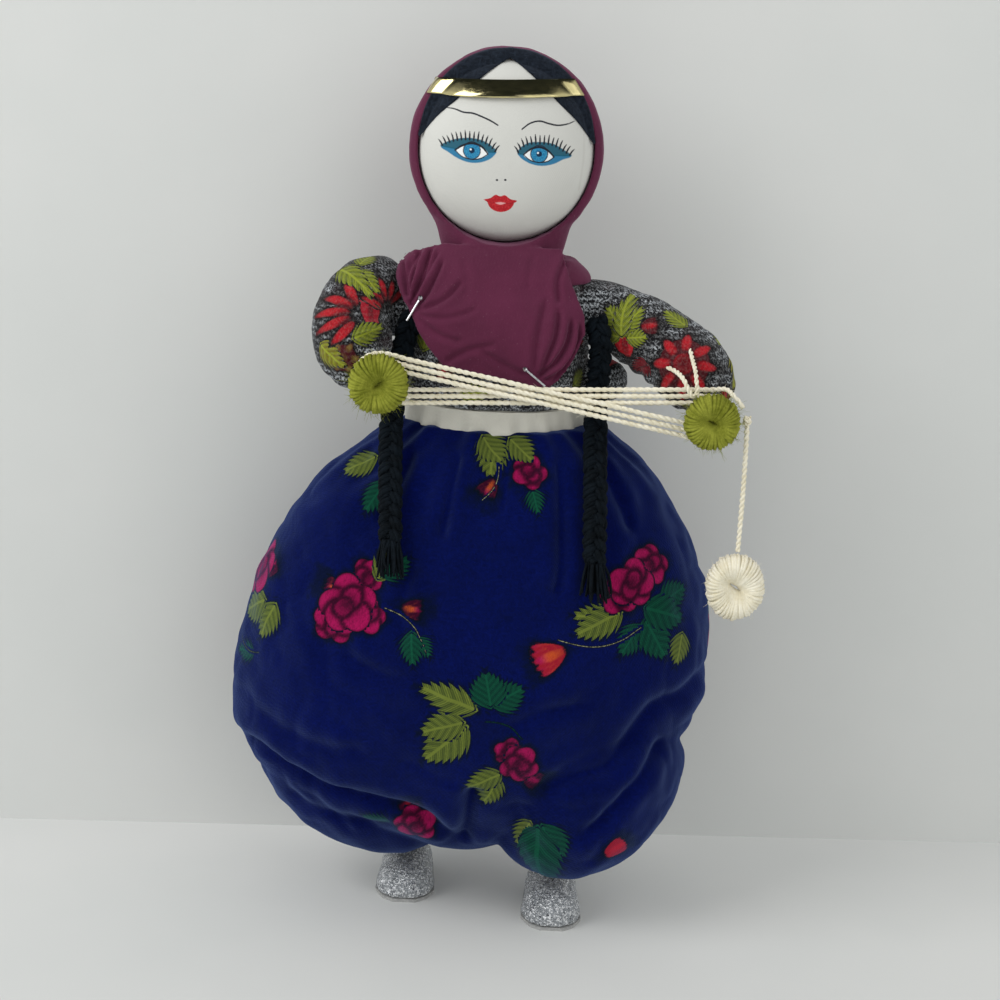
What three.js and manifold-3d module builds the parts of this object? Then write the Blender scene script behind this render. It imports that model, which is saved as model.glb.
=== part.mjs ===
// A stuffed rag doll in balloon trousers and a headscarf, winding yarn between its two pompom hands.
// Millimetres, +Z up, the face looks along -Y, the soles stand on z = 0.
import * as THREE from 'three';
import { mergeVertices } from 'three/addons/utils/BufferGeometryUtils.js';
import Module from 'manifold-3d';

// Gaps between pieces
const CLEARANCE = 0.35;
const YARN_CLEARANCE = 0.45;

// Head, a padded disc with a domed face
const HEAD_HEIGHT = 336.6;
const HEAD_HALF_WIDTH = 37.2;
const HEAD_HALF_HEIGHT = 38.7;
const HEAD_FRONT = 24;
const HEAD_BACK = 26;
const FACE_ROUNDING = 0.78;
const CLOTH = 1;
const FELT = 1.1;
const FOIL = 0.6;

// Hair panels, parted over the forehead
const PARTING_TOP = 38;
const PARTING_HALF_GAP = 2.2;
const HAIR_CURVE_IN = vec(-20.5, 0, 20);
const HAIR_END = vec(-36, 0, 5);

// Foil headband
const BAND_TOP = 28.6;
const BAND_BOTTOM = 20.8;
const BAND_TILT = 1.5;

// Headscarf
const HOOD_THICKNESS = 3.9;
const HOOD_SKIRT_TOP = 311;
const HOOD_SKIRT_BOTTOM = 299.6;
const HOOD_SKIRT_HALF_WIDTH = 27.5;
const HOOD_SKIRT_FLARE = 4;
const HOOD_SKIRT_FRONT = 17.5;
const HOOD_SKIRT_BACK = 24;
const NOD_ROOM = 2.7;
const COLLAR_BOTTOM = 284;
const SCARF_NECK_WIDTH = 14;
const SCARF_NECK_DEPTH = 5;
const SCARF_SIDE_ROOM = 9;
const SCARF_THICKNESS = 1.7;
const SCARF_FOLD = 1.5;
const SCARF_FOLDS = 5;
const BIB_LEFT_EDGE = [
  vec(-26, 0, 296.5),
  vec(-37, 0, 292.5),
  vec(-44, 0, 287),
  vec(-41, 0, 277),
  vec(-36.5, 0, 269),
  vec(-30, 0, 258),
  vec(-21, 0, 248.5),
];
const BIB_RIGHT_EDGE = [
  vec(26.5, 0, 296.5),
  vec(29, 0, 287),
  vec(32.5, 0, 279),
  vec(35.5, 0, 271),
  vec(35, 0, 262),
  vec(30.5, 0, 251),
  vec(21.5, 0, 241.5),
];
const BIB_ROWS = 9;
const BIB_COLUMNS = 14;
const LEFT_PIN = vec(-35.5, 0, 271.5);
const LEFT_PIN_TURN = 0.5;
const LEFT_PIN_PRESS = 0.9;
const LOWER_PIN = vec(16.3, 0, 246);
const LOWER_PIN_TURN = -0.9;
const LOWER_PIN_PRESS = 0;
const PIN_RADIUS = 0.45;
const PIN_LENGTH = 11;
const PIN_HEAD_RADIUS = 1.1;

// Torso, height by height
const TORSO = [
  { height: 198, width: 31, depth: 23 },
  { height: 212, width: 35.5, depth: 25.5 },
  { height: 228, width: 37.2, depth: 26.5 },
  { height: 248, width: 37.4, depth: 28 },
  { height: 264, width: 38.2, depth: 28 },
  { height: 276, width: 37.6, depth: 25.5 },
  { height: 285, width: 31, depth: 20.5 },
  { height: 292, width: 17, depth: 14 },
  { height: 297.1, width: 9.5, depth: 8.8 },
];
const BLOUSE_THICKNESS = 1.2;
const BLOUSE_HEM = 229.4;
const BLOUSE_NECK = 290;
const UNDERARM_FOLD = { middle: vec(46, 1, 240), size: vec(11, 12, 9.5) };
const UNDERSKIRT_THICKNESS = 3.2;
const UNDERSKIRT_SCALLOPS = 12;
const UNDERSKIRT_SCALLOP = 0.5;

// Balloon trousers, the hanging middle, height by height
const TROUSERS = [
  { height: 26.5, left: -6, right: 1, front: -14, back: 9 },
  { height: 30, left: -16, right: 8, front: -27, back: 18 },
  { height: 38, left: -42, right: 25, front: -41, back: 27 },
  { height: 50, left: -75, right: 50, front: -51, back: 35 },
  { height: 64, left: -98, right: 72, front: -58, back: 40 },
  { height: 80, left: -111, right: 88, front: -62, back: 44 },
  { height: 100, left: -111.5, right: 97, front: -63, back: 46 },
  { height: 125, left: -107.5, right: 99.5, front: -60, back: 46 },
  { height: 150, left: -101, right: 95.5, front: -55, back: 44 },
  { height: 172, left: -90, right: 88, front: -49.5, back: 41 },
  { height: 192, left: -77, right: 78, front: -43.5, back: 37 },
  { height: 207, left: -60, right: 65, front: -38, back: 33 },
  { height: 218, left: -48, right: 54, front: -33.5, back: 30 },
];
const TROUSERS_SQUARENESS = 2.25;
const GATHERS = 11;
const GATHER_DEPTH = 2.4;
const GATHER_LENGTH = 34;
const LEFT_LEG_BALLOON = { middle: vec(-52, 2, 67), size: vec(50, 46, 43), foot: vec(-38, -12, 0) };
const RIGHT_LEG_BALLOON = { middle: vec(44, -14, 69), size: vec(47, 46, 43), foot: vec(38, -31, 0) };
const BALLOON_BOTTOM = 22.4;
const BALLOON_FOLDS = 7;
const BALLOON_FOLD_DEPTH = 2.2;
const CUFF_RADIUS = 13;
const CUFF_TOP = 45;
const WAIST_THREAD_RADIUS = 0.7;

// Main folds of the trousers, where the cloth overhangs the legs, as seen from the front and from the back
const FOLD_RADIUS = 6;
const FOLD_OUT = 2.2;
const FOLD_ENDS = 0.1;
const FOLD_SIDES = 4;
const FOLD_RINGS = 5;
const FRONT_FOLDS = [
  [vec(-98, 0, 77), vec(-84, 0, 71), vec(-66, 0, 64), vec(-42, 0, 61), vec(-20, 0, 53), vec(-9, 0, 38)],
  [vec(92, 0, 112), vec(74, 0, 107), vec(65, 0, 95), vec(56, 0, 84), vec(41, 0, 79), vec(24, 0, 70)],
];
const BACK_FOLDS = [
  [vec(-96, 0, 84), vec(-80, 0, 74), vec(-52, 0, 66), vec(-24, 0, 60), vec(-6, 0, 42)],
  [vec(88, 0, 98), vec(74, 0, 88), vec(50, 0, 78), vec(24, 0, 66), vec(8, 0, 48)],
];

// Legs and shoes
const LEG_RADIUS = 8.6;
const LEG_SWELL = 2.4;
const LEG_TOP = 118;
const LEG_LEAN = 0.9;
const LEFT_TOE = vec(-31.5, -22, 0);
const RIGHT_TOE = vec(35, -44, 0);
const SHOE_LENGTH = 47;
const SHOE = [
  { along: 0, width: 4.5, height: 5 },
  { along: 0.07, width: 9, height: 9.5 },
  { along: 0.24, width: 12.9, height: 13.5 },
  { along: 0.46, width: 12.7, height: 15 },
  { along: 0.6, width: 12, height: 18 },
  { along: 0.84, width: 11.3, height: 18.5 },
  { along: 0.95, width: 9, height: 17 },
  { along: 1, width: 5.5, height: 14 },
];
const SHOE_ROUNDING = 0.8;
const ANKLE_FROM_TOE = 33;
const SOLE_THICKNESS = 1.4;
const SOLE_EDGE = 0.5;
const CUFF_THREAD_RADIUS = 0.7;

// Arms, sleeve and wrist in one, set into the torso by a round shoulder
const SHOULDER_HEIGHT = 269;
const SHOULDER_SPAN = 33;
const SHOULDER_RADIUS = 14.2;
const SHOULDER_NECK = 10;
const ARM_RADIUS = 16;
const WRIST_RADIUS = 3.6;
const WRIST_LENGTH = 9.5;
const LEFT_ARM_BEND = [vec(-55, -6, 274.5), vec(-62, -18, 263), vec(-57.5, -29, 249.5)];
const RIGHT_ARM_BEND = [vec(59, -6, 264), vec(76, -15, 255), vec(86.5, -26, 244)];
const LEFT_WRIST = vec(-47.5, -40, 245);
const RIGHT_WRIST = vec(88.8, -40, 235.5);
const WRIST_TAPER = 0.3;
const WRIST_TAPER_POWER = 1.6;
const PLUMP_FROM = 0.15;
const PLUMP_TO = 0.4;

// Pompom hands
const LEFT_HAND_RADIUS = 12.4;
const RIGHT_HAND_RADIUS = 11.5;
const HAND_HALF_THICKNESS = 7.5;
const POMPOM_RIBS = 8;
const POMPOM_RIB_DEPTH = 0.5;
const POMPOM_ROUNDING = 0.8;
const DIMPLE_EDGE = 0.6;

// Yarn, the figure of eight round the wrists, the tie and the hanging end with its disc
const YARN_RADIUS = 1.1;
const WINDING_LAPS = 3;
const WINDING_PITCH = 2.75;
const LOOP_STEPS = 8;
const RUN_STEPS = 4;
const YARN_SIDES = 6;
const TIE_STEPS = 14;
const TIE_STAND_OFF = 1.9;
const DROP_STEPS = 12;
const CORD_SIDES = 8;
const HITCH_RADIUS = 2;
const OVER_HAND_TURNS = [0.36, 0.29, 0.22, 0.15];
const DROP_LENGTH = 53;
const TIE_FROM = [vec(79.5, 0, 262), vec(81.5, 0, 254.5)];
const TIE_OVER_YARN = [vec(82.2, 0, 250), vec(82.4, 0, 245.2), vec(79.8, 0, 245.4), vec(76.6, 0, 249.8)];
const TIE_TO = [vec(72, 0, 251.5)];
const DISC_HALF_WIDTH = 12.4;
const DISC_HALF_HEIGHT = 14.4;
const DISC_HALF_THICKNESS = 7;
const DISC_RIBS = 8;
const DISC_DIMPLE = 0.45;

// Braids
const BRAID_RADIUS = 5.3;
const BRAID_PINCH = 0.14;
const BRAID_PLAIT = 9;
const BRAID_HINGE_HEIGHT = 221;
const BRAID_HINGE_DEPTH = -26.4;
const LEFT_BRAID_TOP = [
  vec(-38.2, -19.6, BRAID_HINGE_HEIGHT + 40),
  vec(-40.5, -20, BRAID_HINGE_HEIGHT + 28),
  vec(-43, -17.5, BRAID_HINGE_HEIGHT + 16),
  vec(-43.4, -20.5, BRAID_HINGE_HEIGHT + 6),
];
const RIGHT_BRAID_TOP = [
  vec(43.2, -19.4, BRAID_HINGE_HEIGHT + 41),
  vec(43.4, -20.5, BRAID_HINGE_HEIGHT + 29),
  vec(43, -17.8, BRAID_HINGE_HEIGHT + 17),
  vec(43, -20.5, BRAID_HINGE_HEIGHT + 6),
];
const LEFT_BRAID_BOTTOM = vec(-41, 0, BRAID_HINGE_HEIGHT - 43);
const RIGHT_BRAID_BOTTOM = vec(44.5, 0, BRAID_HINGE_HEIGHT - 49);
const TUFT_LENGTH = 15;
const TUFT_RADIUS = 6.2;
const TUFT_NECK = 0.8;

// Facets
const BODY_SIDES = 26;
const TORSO_SIDES = 24;
const TORSO_RINGS = 12;
const TROUSERS_RINGS = 12;
const BALLOON_RINGS = 6;
const BALLOON_SIDES = 16;
const HEAD_SIDES = 28;
const HEAD_RINGS = 10;
const LIMB_SIDES = 16;
const ARM_RINGS = 14;
const LEG_RINGS = 5;
const BRAID_SIDES = 8;
const BRAID_RINGS = 16;
const POMPOM_RINGS = 8;
const THREAD_SIDES = 6;
const THREAD_STEPS = 18;
const RING_MARGIN = 0.05;

const wasm = await Module();
wasm.setup();

function vec(x, y, z) {
  return new THREE.Vector3(x, y, z);
}

// Smooth value of one size between the listed stations
function between(stations, place, size, where) {
  const last = stations.length - 1;
  const slope = (i, j) => (stations[j][size] - stations[i][size]) / (stations[j][place] - stations[i][place]);
  let i = 0;
  while (i < last - 1 && where > stations[i + 1][place]) {
    i += 1;
  }
  const start = stations[i];
  const end = stations[i + 1];
  const span = end[place] - start[place];
  const t = THREE.MathUtils.clamp((where - start[place]) / span, 0, 1);
  const leaving = slope(Math.max(i - 1, 0), i + 1) * span;
  const arriving = slope(i, Math.min(i + 2, last)) * span;
  const rise = t * t * (3 - 2 * t);
  const bend = t * (1 - t);
  return start[size] * (1 - rise) + end[size] * rise + bend * ((1 - t) * leaving - t * arriving);
}

// One closed skin over a row of rings, with a middle point in each end
function skin(rings) {
  const sides = rings[0].length;
  const points = rings.flat();
  const middle = (ring) => ring.reduce((sum, p) => sum.add(p), vec(0, 0, 0)).divideScalar(sides);
  const index = [];
  for (let row = 0; row < rings.length - 1; row += 1) {
    for (let side = 0; side < sides; side += 1) {
      const a = row * sides + side;
      const b = row * sides + ((side + 1) % sides);
      index.push(a, b, b + sides, a, b + sides, a + sides);
    }
  }
  const bottom = points.length;
  const top = bottom + 1;
  const lastRow = (rings.length - 1) * sides;
  for (let side = 0; side < sides; side += 1) {
    const next = (side + 1) % sides;
    index.push(bottom, next, side, top, lastRow + side, lastRow + next);
  }
  points.push(middle(rings[0]), middle(rings[rings.length - 1]));
  return facingOut(points, index);
}

function facingOut(points, index) {
  let volume = 0;
  for (let i = 0; i < index.length; i += 3) {
    const [a, b, c] = [points[index[i]], points[index[i + 1]], points[index[i + 2]]];
    volume += a.dot(b.clone().cross(c));
  }
  const faces = volume < 0 ? index.slice().reverse() : index;
  const geometry = new THREE.BufferGeometry().setFromPoints(points);
  geometry.setIndex(faces);
  return geometry;
}

function solid(geometry) {
  const bare = geometry.clone();
  bare.deleteAttribute('normal');
  bare.deleteAttribute('uv');
  const welded = mergeVertices(bare, 1e-4);
  return new wasm.Manifold(
    new wasm.Mesh({
      numProp: 3,
      vertProperties: new Float32Array(welded.attributes.position.array),
      triVerts: new Uint32Array(welded.index.array),
    }),
  );
}

function geometryOf(form) {
  const mesh = form.getMesh();
  const geometry = new THREE.BufferGeometry();
  geometry.setAttribute('position', new THREE.BufferAttribute(new Float32Array(mesh.vertProperties), 3));
  geometry.setIndex(new THREE.BufferAttribute(new Uint32Array(mesh.triVerts), 1));
  return geometry;
}

function box(low, high) {
  const size = high.clone().sub(low);
  const middle = low.clone().add(high).divideScalar(2);
  return solid(new THREE.BoxGeometry(size.x, size.y, size.z).translate(middle.x, middle.y, middle.z));
}

// A slab right through the part between two heights
function slab(low, high) {
  const reach = 200;
  return box(vec(-reach, -reach, low), vec(reach, reach, high));
}

function ball(middle, size) {
  const sphere = new THREE.SphereGeometry(1, LIMB_SIDES, LIMB_SIDES / 2).rotateX(Math.PI / 2);
  return solid(sphere.scale(size.x, size.y, size.z).translate(middle.x, middle.y, middle.z));
}

// An upright outline in x and z, pushed along y
function slice(outline, front, back) {
  const shape = new THREE.Shape(outline.map((p) => new THREE.Vector2(p.x, p.z)));
  const plate = new THREE.ExtrudeGeometry(shape, { depth: back - front, bevelEnabled: false });
  return solid(plate.rotateX(Math.PI / 2).translate(0, back, 0));
}

// Elliptical rings stacked up in height
function tower(heights, ringAt) {
  return skin(heights.map((height) => ringAt(height)));
}

function steps(from, to, count) {
  return Array.from({ length: count + 1 }, (_, i) => from + ((to - from) * i) / count);
}

function around(count, point) {
  return Array.from({ length: count }, (_, i) => point((2 * Math.PI * i) / count));
}

// A round tube through points, its radius given along the way
function tube(points, radiusAt, sides) {
  const last = points.length - 1;
  let normal = vec(0, 0, 1);
  return skin(
    points.map((point, i) => {
      const ahead = points[Math.min(i + 1, last)].clone().sub(points[Math.max(i - 1, 0)]).normalize();
      if (i === 0 && Math.abs(ahead.z) > 0.9) {
        normal = vec(0, 1, 0);
      }
      normal = normal.clone().addScaledVector(ahead, -normal.dot(ahead)).normalize();
      const across = ahead.clone().cross(normal);
      const radius = radiusAt(i / last);
      return around(sides, (angle) =>
        point
          .clone()
          .addScaledVector(normal, radius * Math.cos(angle))
          .addScaledVector(across, radius * Math.sin(angle)),
      );
    }),
  );
}

function smoothRoute(route, count) {
  return new THREE.CatmullRomCurve3(route, false, 'centripetal').getSpacedPoints(count);
}

// A limb whose round section swells and tapers along its route
function limb(route, radiusAt, sides, rings) {
  return tube(smoothRoute(route, rings), radiusAt, sides);
}

// A closed sheet of cloth over a grid of outer points
function sheet(rows, thickness) {
  const across = rows[0].length;
  const outer = rows.flat();
  const inner = outer.map((p) => vec(p.x, p.y + thickness, p.z));
  const points = outer.concat(inner);
  const back = outer.length;
  const index = [];
  const quad = (a, b, c, d) => index.push(a, b, c, a, c, d);
  for (let row = 0; row < rows.length - 1; row += 1) {
    for (let i = 0; i < across - 1; i += 1) {
      const a = row * across + i;
      quad(a, a + 1, a + across + 1, a + across);
      quad(back + a + across, back + a + across + 1, back + a + 1, back + a);
    }
  }
  const rim = [];
  for (let i = 0; i < across - 1; i += 1) {
    rim.push(i);
  }
  for (let row = 0; row < rows.length - 1; row += 1) {
    rim.push(row * across + across - 1);
  }
  for (let i = across - 1; i > 0; i -= 1) {
    rim.push((rows.length - 1) * across + i);
  }
  for (let row = rows.length - 1; row > 0; row -= 1) {
    rim.push(row * across);
  }
  rim.forEach((a, i) => {
    const b = rim[(i + 1) % rim.length];
    quad(b, a, back + a, back + b);
  });
  return facingOut(points, index);
}

// The head's form, grown outwards for what lies on it
function headForm(grow) {
  const rings = steps(RING_MARGIN, 1 - RING_MARGIN, HEAD_RINGS).map((part) => {
    const polar = Math.PI * part;
    const depth = (Math.cos(polar) > 0 ? HEAD_FRONT : HEAD_BACK) + grow;
    const round = Math.sin(polar) ** FACE_ROUNDING;
    return around(HEAD_SIDES, (angle) =>
      vec(
        (HEAD_HALF_WIDTH + grow) * round * Math.cos(angle),
        -depth * Math.cos(polar),
        HEAD_HEIGHT + (HEAD_HALF_HEIGHT + grow) * round * Math.sin(angle),
      ),
    );
  });
  return solid(skin(rings));
}

function faceOutline(grow) {
  const half = HEAD_HALF_WIDTH + grow;
  const rise = HEAD_HALF_HEIGHT + grow;
  return around(HEAD_SIDES, (angle) => vec(half * Math.cos(angle), 0, HEAD_HEIGHT + rise * Math.sin(angle)));
}

// A layer of cloth, felt or foil on the front of the head, cut to an outline
function faceLayer(outline, inner, thickness) {
  const front = -HEAD_FRONT * 2;
  const opening = slice(faceOutline(-CLEARANCE), front, 0);
  return headForm(inner + thickness)
    .subtract(headForm(inner))
    .intersect(slice(outline, front, 0))
    .intersect(opening);
}

function hair(side) {
  const curve = new THREE.QuadraticBezierCurve3(
    vec(-PARTING_HALF_GAP, 0, PARTING_TOP),
    HAIR_CURVE_IN.clone(),
    HAIR_END.clone(),
  );
  const edge = curve.getPoints(10);
  const reach = HEAD_HALF_WIDTH * 1.5;
  const outside = [vec(-reach, 0, HAIR_END.z), vec(-reach, 0, reach), vec(-PARTING_HALF_GAP, 0, reach)];
  const outline = [...edge, ...outside];
  const placed = outline.map((p) => vec(side * -p.x, 0, HEAD_HEIGHT + p.z));
  return faceLayer(placed, CLOTH + 2 * CLEARANCE, FELT);
}

function headband() {
  const reach = HEAD_HALF_WIDTH * 1.5;
  const outline = [
    vec(-reach, 0, HEAD_HEIGHT + BAND_BOTTOM - BAND_TILT),
    vec(reach, 0, HEAD_HEIGHT + BAND_BOTTOM + BAND_TILT),
    vec(reach, 0, HEAD_HEIGHT + BAND_TOP + BAND_TILT),
    vec(-reach, 0, HEAD_HEIGHT + BAND_TOP - BAND_TILT),
  ];
  return faceLayer(outline, CLOTH + FELT + 3 * CLEARANCE, FOIL);
}

function hoodSkirt() {
  return solid(
    tower([HOOD_SKIRT_BOTTOM, (HOOD_SKIRT_BOTTOM + HOOD_SKIRT_TOP) / 2, HOOD_SKIRT_TOP], (height) => {
      const rise = (height - HOOD_SKIRT_BOTTOM) / (HOOD_SKIRT_TOP - HOOD_SKIRT_BOTTOM);
      const half = HOOD_SKIRT_HALF_WIDTH + HOOD_SKIRT_FLARE * rise;
      return around(HEAD_SIDES, (angle) => {
        const depth = Math.sin(angle) < 0 ? HOOD_SKIRT_FRONT : HOOD_SKIRT_BACK;
        return vec(half * Math.cos(angle), depth * Math.sin(angle), height);
      });
    }),
  );
}

function scarfHood() {
  const opening = slice(faceOutline(0), -HEAD_FRONT * 3, -HEAD_FRONT / 8);
  const chin = slab(0, HOOD_SKIRT_BOTTOM);
  return headForm(HOOD_THICKNESS)
    .add(hoodSkirt())
    .subtract(opening)
    .subtract(headForm(CLEARANCE))
    .subtract(chin);
}

// The torso's form, grown outwards for what lies on it
function torsoForm(grow) {
  const low = TORSO[0].height;
  const high = TORSO[TORSO.length - 1].height;
  return solid(
    tower(steps(low, high, TORSO_RINGS), (height) => {
      const half = between(TORSO, 'height', 'width', height) + grow;
      const depth = between(TORSO, 'height', 'depth', height) + grow;
      return around(TORSO_SIDES, (angle) => vec(half * Math.cos(angle), depth * Math.sin(angle), height));
    }),
  );
}

function trousersSection(height) {
  const size = (name) => between(TROUSERS, 'height', name, height);
  return { left: size('left'), right: size('right'), front: size('front'), back: size('back') };
}

// How far the front of the trousers stands out at a place
function trousersFront(x, height) {
  const { left, right, front } = trousersSection(height);
  const across = Math.min(Math.abs((2 * x - left - right) / (right - left)), 1);
  return front * (1 - across ** TROUSERS_SQUARENESS) ** (1 / TROUSERS_SQUARENESS);
}

// How much further forward a thing must lie to clear the slanting front of the trousers
function trousersSlant(x, height) {
  const step = 1;
  const sideways = trousersFront(x + step, height) - trousersFront(x - step, height);
  const upwards = trousersFront(x, height + step) - trousersFront(x, height - step);
  return Math.hypot(1, sideways / (2 * step), upwards / (2 * step));
}

function hangingMiddle() {
  const low = TROUSERS[0].height;
  const high = TROUSERS[TROUSERS.length - 1].height;
  const power = 2 / TROUSERS_SQUARENESS;
  const bulge = (value) => Math.sign(value) * Math.abs(value) ** power;
  return solid(
    tower(steps(low, high, TROUSERS_RINGS), (height) => {
      const { left, right, front, back } = trousersSection(height);
      const gather = GATHER_DEPTH * Math.max(0, 1 - (high - height) / GATHER_LENGTH);
      return around(BODY_SIDES, (angle) => {
        const depth = Math.sin(angle) < 0 ? -front : back;
        const inward = gather * (1 - Math.cos(GATHERS * angle)) * 0.5;
        return vec(
          (left + right) / 2 + ((right - left) / 2 - inward) * bulge(Math.cos(angle)),
          (depth - inward) * bulge(Math.sin(angle)),
          height,
        );
      });
    }),
  );
}

// One leg of the trousers below the hanging middle, drawn in towards its cuff
function legBalloon({ middle, size, foot }) {
  const rings = steps(RING_MARGIN, 1 - RING_MARGIN, BALLOON_RINGS).map((part) => {
    const polar = Math.PI * part;
    return around(BALLOON_SIDES, (angle) => {
      const low = Math.max(0, Math.cos(polar));
      const fold = 1 - (BALLOON_FOLD_DEPTH / size.x) * low * (1 + Math.cos(BALLOON_FOLDS * angle));
      return vec(
        middle.x + (foot.x - middle.x) * low ** 2 + size.x * Math.sin(polar) * Math.cos(angle) * fold,
        middle.y + (foot.y - middle.y) * low ** 2 + size.y * Math.sin(polar) * Math.sin(angle) * fold,
        middle.z - (low > 0 ? middle.z - BALLOON_BOTTOM : size.z) * Math.cos(polar),
      );
    });
  });
  return solid(skin(rings));
}

// The hem, drawn in round the ankle
function cuff(toe) {
  const foot = ankle(toe);
  const form = new THREE.CylinderGeometry(CUFF_RADIUS, CUFF_RADIUS, CUFF_TOP - BALLOON_BOTTOM, LIMB_SIDES);
  return solid(form.rotateX(Math.PI / 2).translate(foot.x, foot.y, (CUFF_TOP + BALLOON_BOTTOM) / 2));
}

function ankle(toe) {
  return vec(toe.x, toe.y + ANKLE_FROM_TOE, SOLE_THICKNESS + 2 * CLEARANCE + LEG_RADIUS / 2);
}

function legForm(toe, grow) {
  const low = ankle(toe);
  const route = [low, vec(low.x, low.y, LEG_TOP / 2), vec(LEG_LEAN * low.x, 0, LEG_TOP + grow)];
  const swell = (along) => LEG_SWELL * Math.sin(Math.PI * Math.max(0, along - 0.1)) ** 2;
  return solid(limb(route, (along) => grow + LEG_RADIUS + swell(along), LIMB_SIDES, LEG_RINGS));
}

// A form with room below it as well as round it
function seatOf(form) {
  return form.add(form.translate([0, 0, -CLEARANCE]));
}

// The groove of one fold, laid along the outside of the cloth on one side
function foldGroove(cloth, side, places) {
  const far = 2 * TROUSERS[TROUSERS.length - 1].height * side;
  const route = places.map((place) => {
    const [hit] = new THREE.Raycaster(vec(place.x, far, place.z), vec(0, -side, 0)).intersectObject(cloth);
    return vec(place.x, hit.point.y + side * FOLD_OUT, place.z);
  });
  const deep = (along) => FOLD_RADIUS * Math.sin(Math.PI * (FOLD_ENDS + (1 - 2 * FOLD_ENDS) * along));
  return solid(tube(smoothRoute(route, FOLD_RINGS), deep, FOLD_SIDES));
}

function trousers() {
  const balloons = hangingMiddle().add(legBalloon(LEFT_LEG_BALLOON)).add(legBalloon(RIGHT_LEG_BALLOON));
  const cloth = new THREE.Mesh(geometryOf(balloons));
  const folds = [
    ...FRONT_FOLDS.map((places) => foldGroove(cloth, -1, places)),
    ...BACK_FOLDS.map((places) => foldGroove(cloth, 1, places)),
  ];
  return folds
    .reduce((form, fold) => form.subtract(fold), balloons)
    .add(cuff(LEFT_TOE))
    .add(cuff(RIGHT_TOE))
    .subtract(seatOf(torsoForm(CLEARANCE)))
    .subtract(legForm(LEFT_TOE, CLEARANCE))
    .subtract(legForm(RIGHT_TOE, CLEARANCE));
}

// A thread drawn tight round an upright limb
function thread(middle, halfWidth, halfDepth, radius) {
  const rings = around(THREAD_STEPS, (turn) =>
    around(THREAD_SIDES, (angle) =>
      vec(
        middle.x + (halfWidth + radius * Math.cos(angle)) * Math.cos(turn),
        middle.y + (halfDepth + radius * Math.cos(angle)) * Math.sin(turn),
        middle.z + radius * Math.sin(angle),
      ),
    ),
  );
  const index = [];
  rings.forEach((_, row) => {
    const next = (row + 1) % rings.length;
    for (let side = 0; side < THREAD_SIDES; side += 1) {
      const beside = (side + 1) % THREAD_SIDES;
      const [a, b] = [row * THREAD_SIDES + side, row * THREAD_SIDES + beside];
      const [c, d] = [next * THREAD_SIDES + side, next * THREAD_SIDES + beside];
      index.push(a, b, d, a, d, c);
    }
  });
  return solid(facingOut(rings.flat(), index));
}

function waistThread() {
  const height = TROUSERS[TROUSERS.length - 1].height + CLEARANCE + WAIST_THREAD_RADIUS;
  const reach = 2 * CLEARANCE + WAIST_THREAD_RADIUS;
  const half = between(TORSO, 'height', 'width', height) + reach;
  const depth = between(TORSO, 'height', 'depth', height) + reach;
  return thread(vec(0, 0, height), half, depth, WAIST_THREAD_RADIUS);
}

function cuffThread(toe) {
  const foot = ankle(toe);
  const height = BALLOON_BOTTOM - CLEARANCE - CUFF_THREAD_RADIUS;
  const reach = LEG_RADIUS + 2 * CLEARANCE + CUFF_THREAD_RADIUS;
  return thread(vec(foot.x, foot.y, height), reach, reach, CUFF_THREAD_RADIUS);
}

function shoe(toe) {
  const base = SOLE_THICKNESS + CLEARANCE;
  const rings = SHOE.map(({ along, width, height }) =>
    around(LIMB_SIDES, (angle) =>
      vec(
        toe.x + width * Math.cos(angle),
        toe.y + along * SHOE_LENGTH,
        base + height * Math.max(0, Math.sin(angle)) ** SHOE_ROUNDING,
      ),
    ),
  );
  return solid(skin(rings)).subtract(seatOf(legForm(toe, CLEARANCE)));
}

function sole(toe) {
  const edge = (side) =>
    SHOE.map(({ along, width }) => {
      const half = width + SOLE_EDGE;
      return new THREE.Vector2(toe.x + side * half, toe.y + along * SHOE_LENGTH);
    });
  const shape = new THREE.Shape([...edge(1), ...edge(-1).reverse()]);
  return solid(new THREE.ExtrudeGeometry(shape, { depth: SOLE_THICKNESS, bevelEnabled: false }));
}

function alongX(side, from, to, radius) {
  const bar = new THREE.CylinderGeometry(radius, radius, to - from, LIMB_SIDES);
  const middle = (side * (from + to)) / 2;
  return solid(bar.rotateZ(Math.PI / 2).translate(middle, 0, SHOULDER_HEIGHT));
}

// The round shoulder and its straight neck, which turn in the armhole
function shoulderForm(side, grow) {
  const radius = SHOULDER_RADIUS + grow;
  const middle = vec(side * SHOULDER_SPAN, 0, SHOULDER_HEIGHT);
  return ball(middle, vec(radius, radius, radius)).add(
    alongX(side, SHOULDER_SPAN, SHOULDER_SPAN + SHOULDER_NECK, radius),
  );
}

function armholes(grow) {
  return shoulderForm(-1, grow).add(shoulderForm(1, grow));
}

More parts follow.
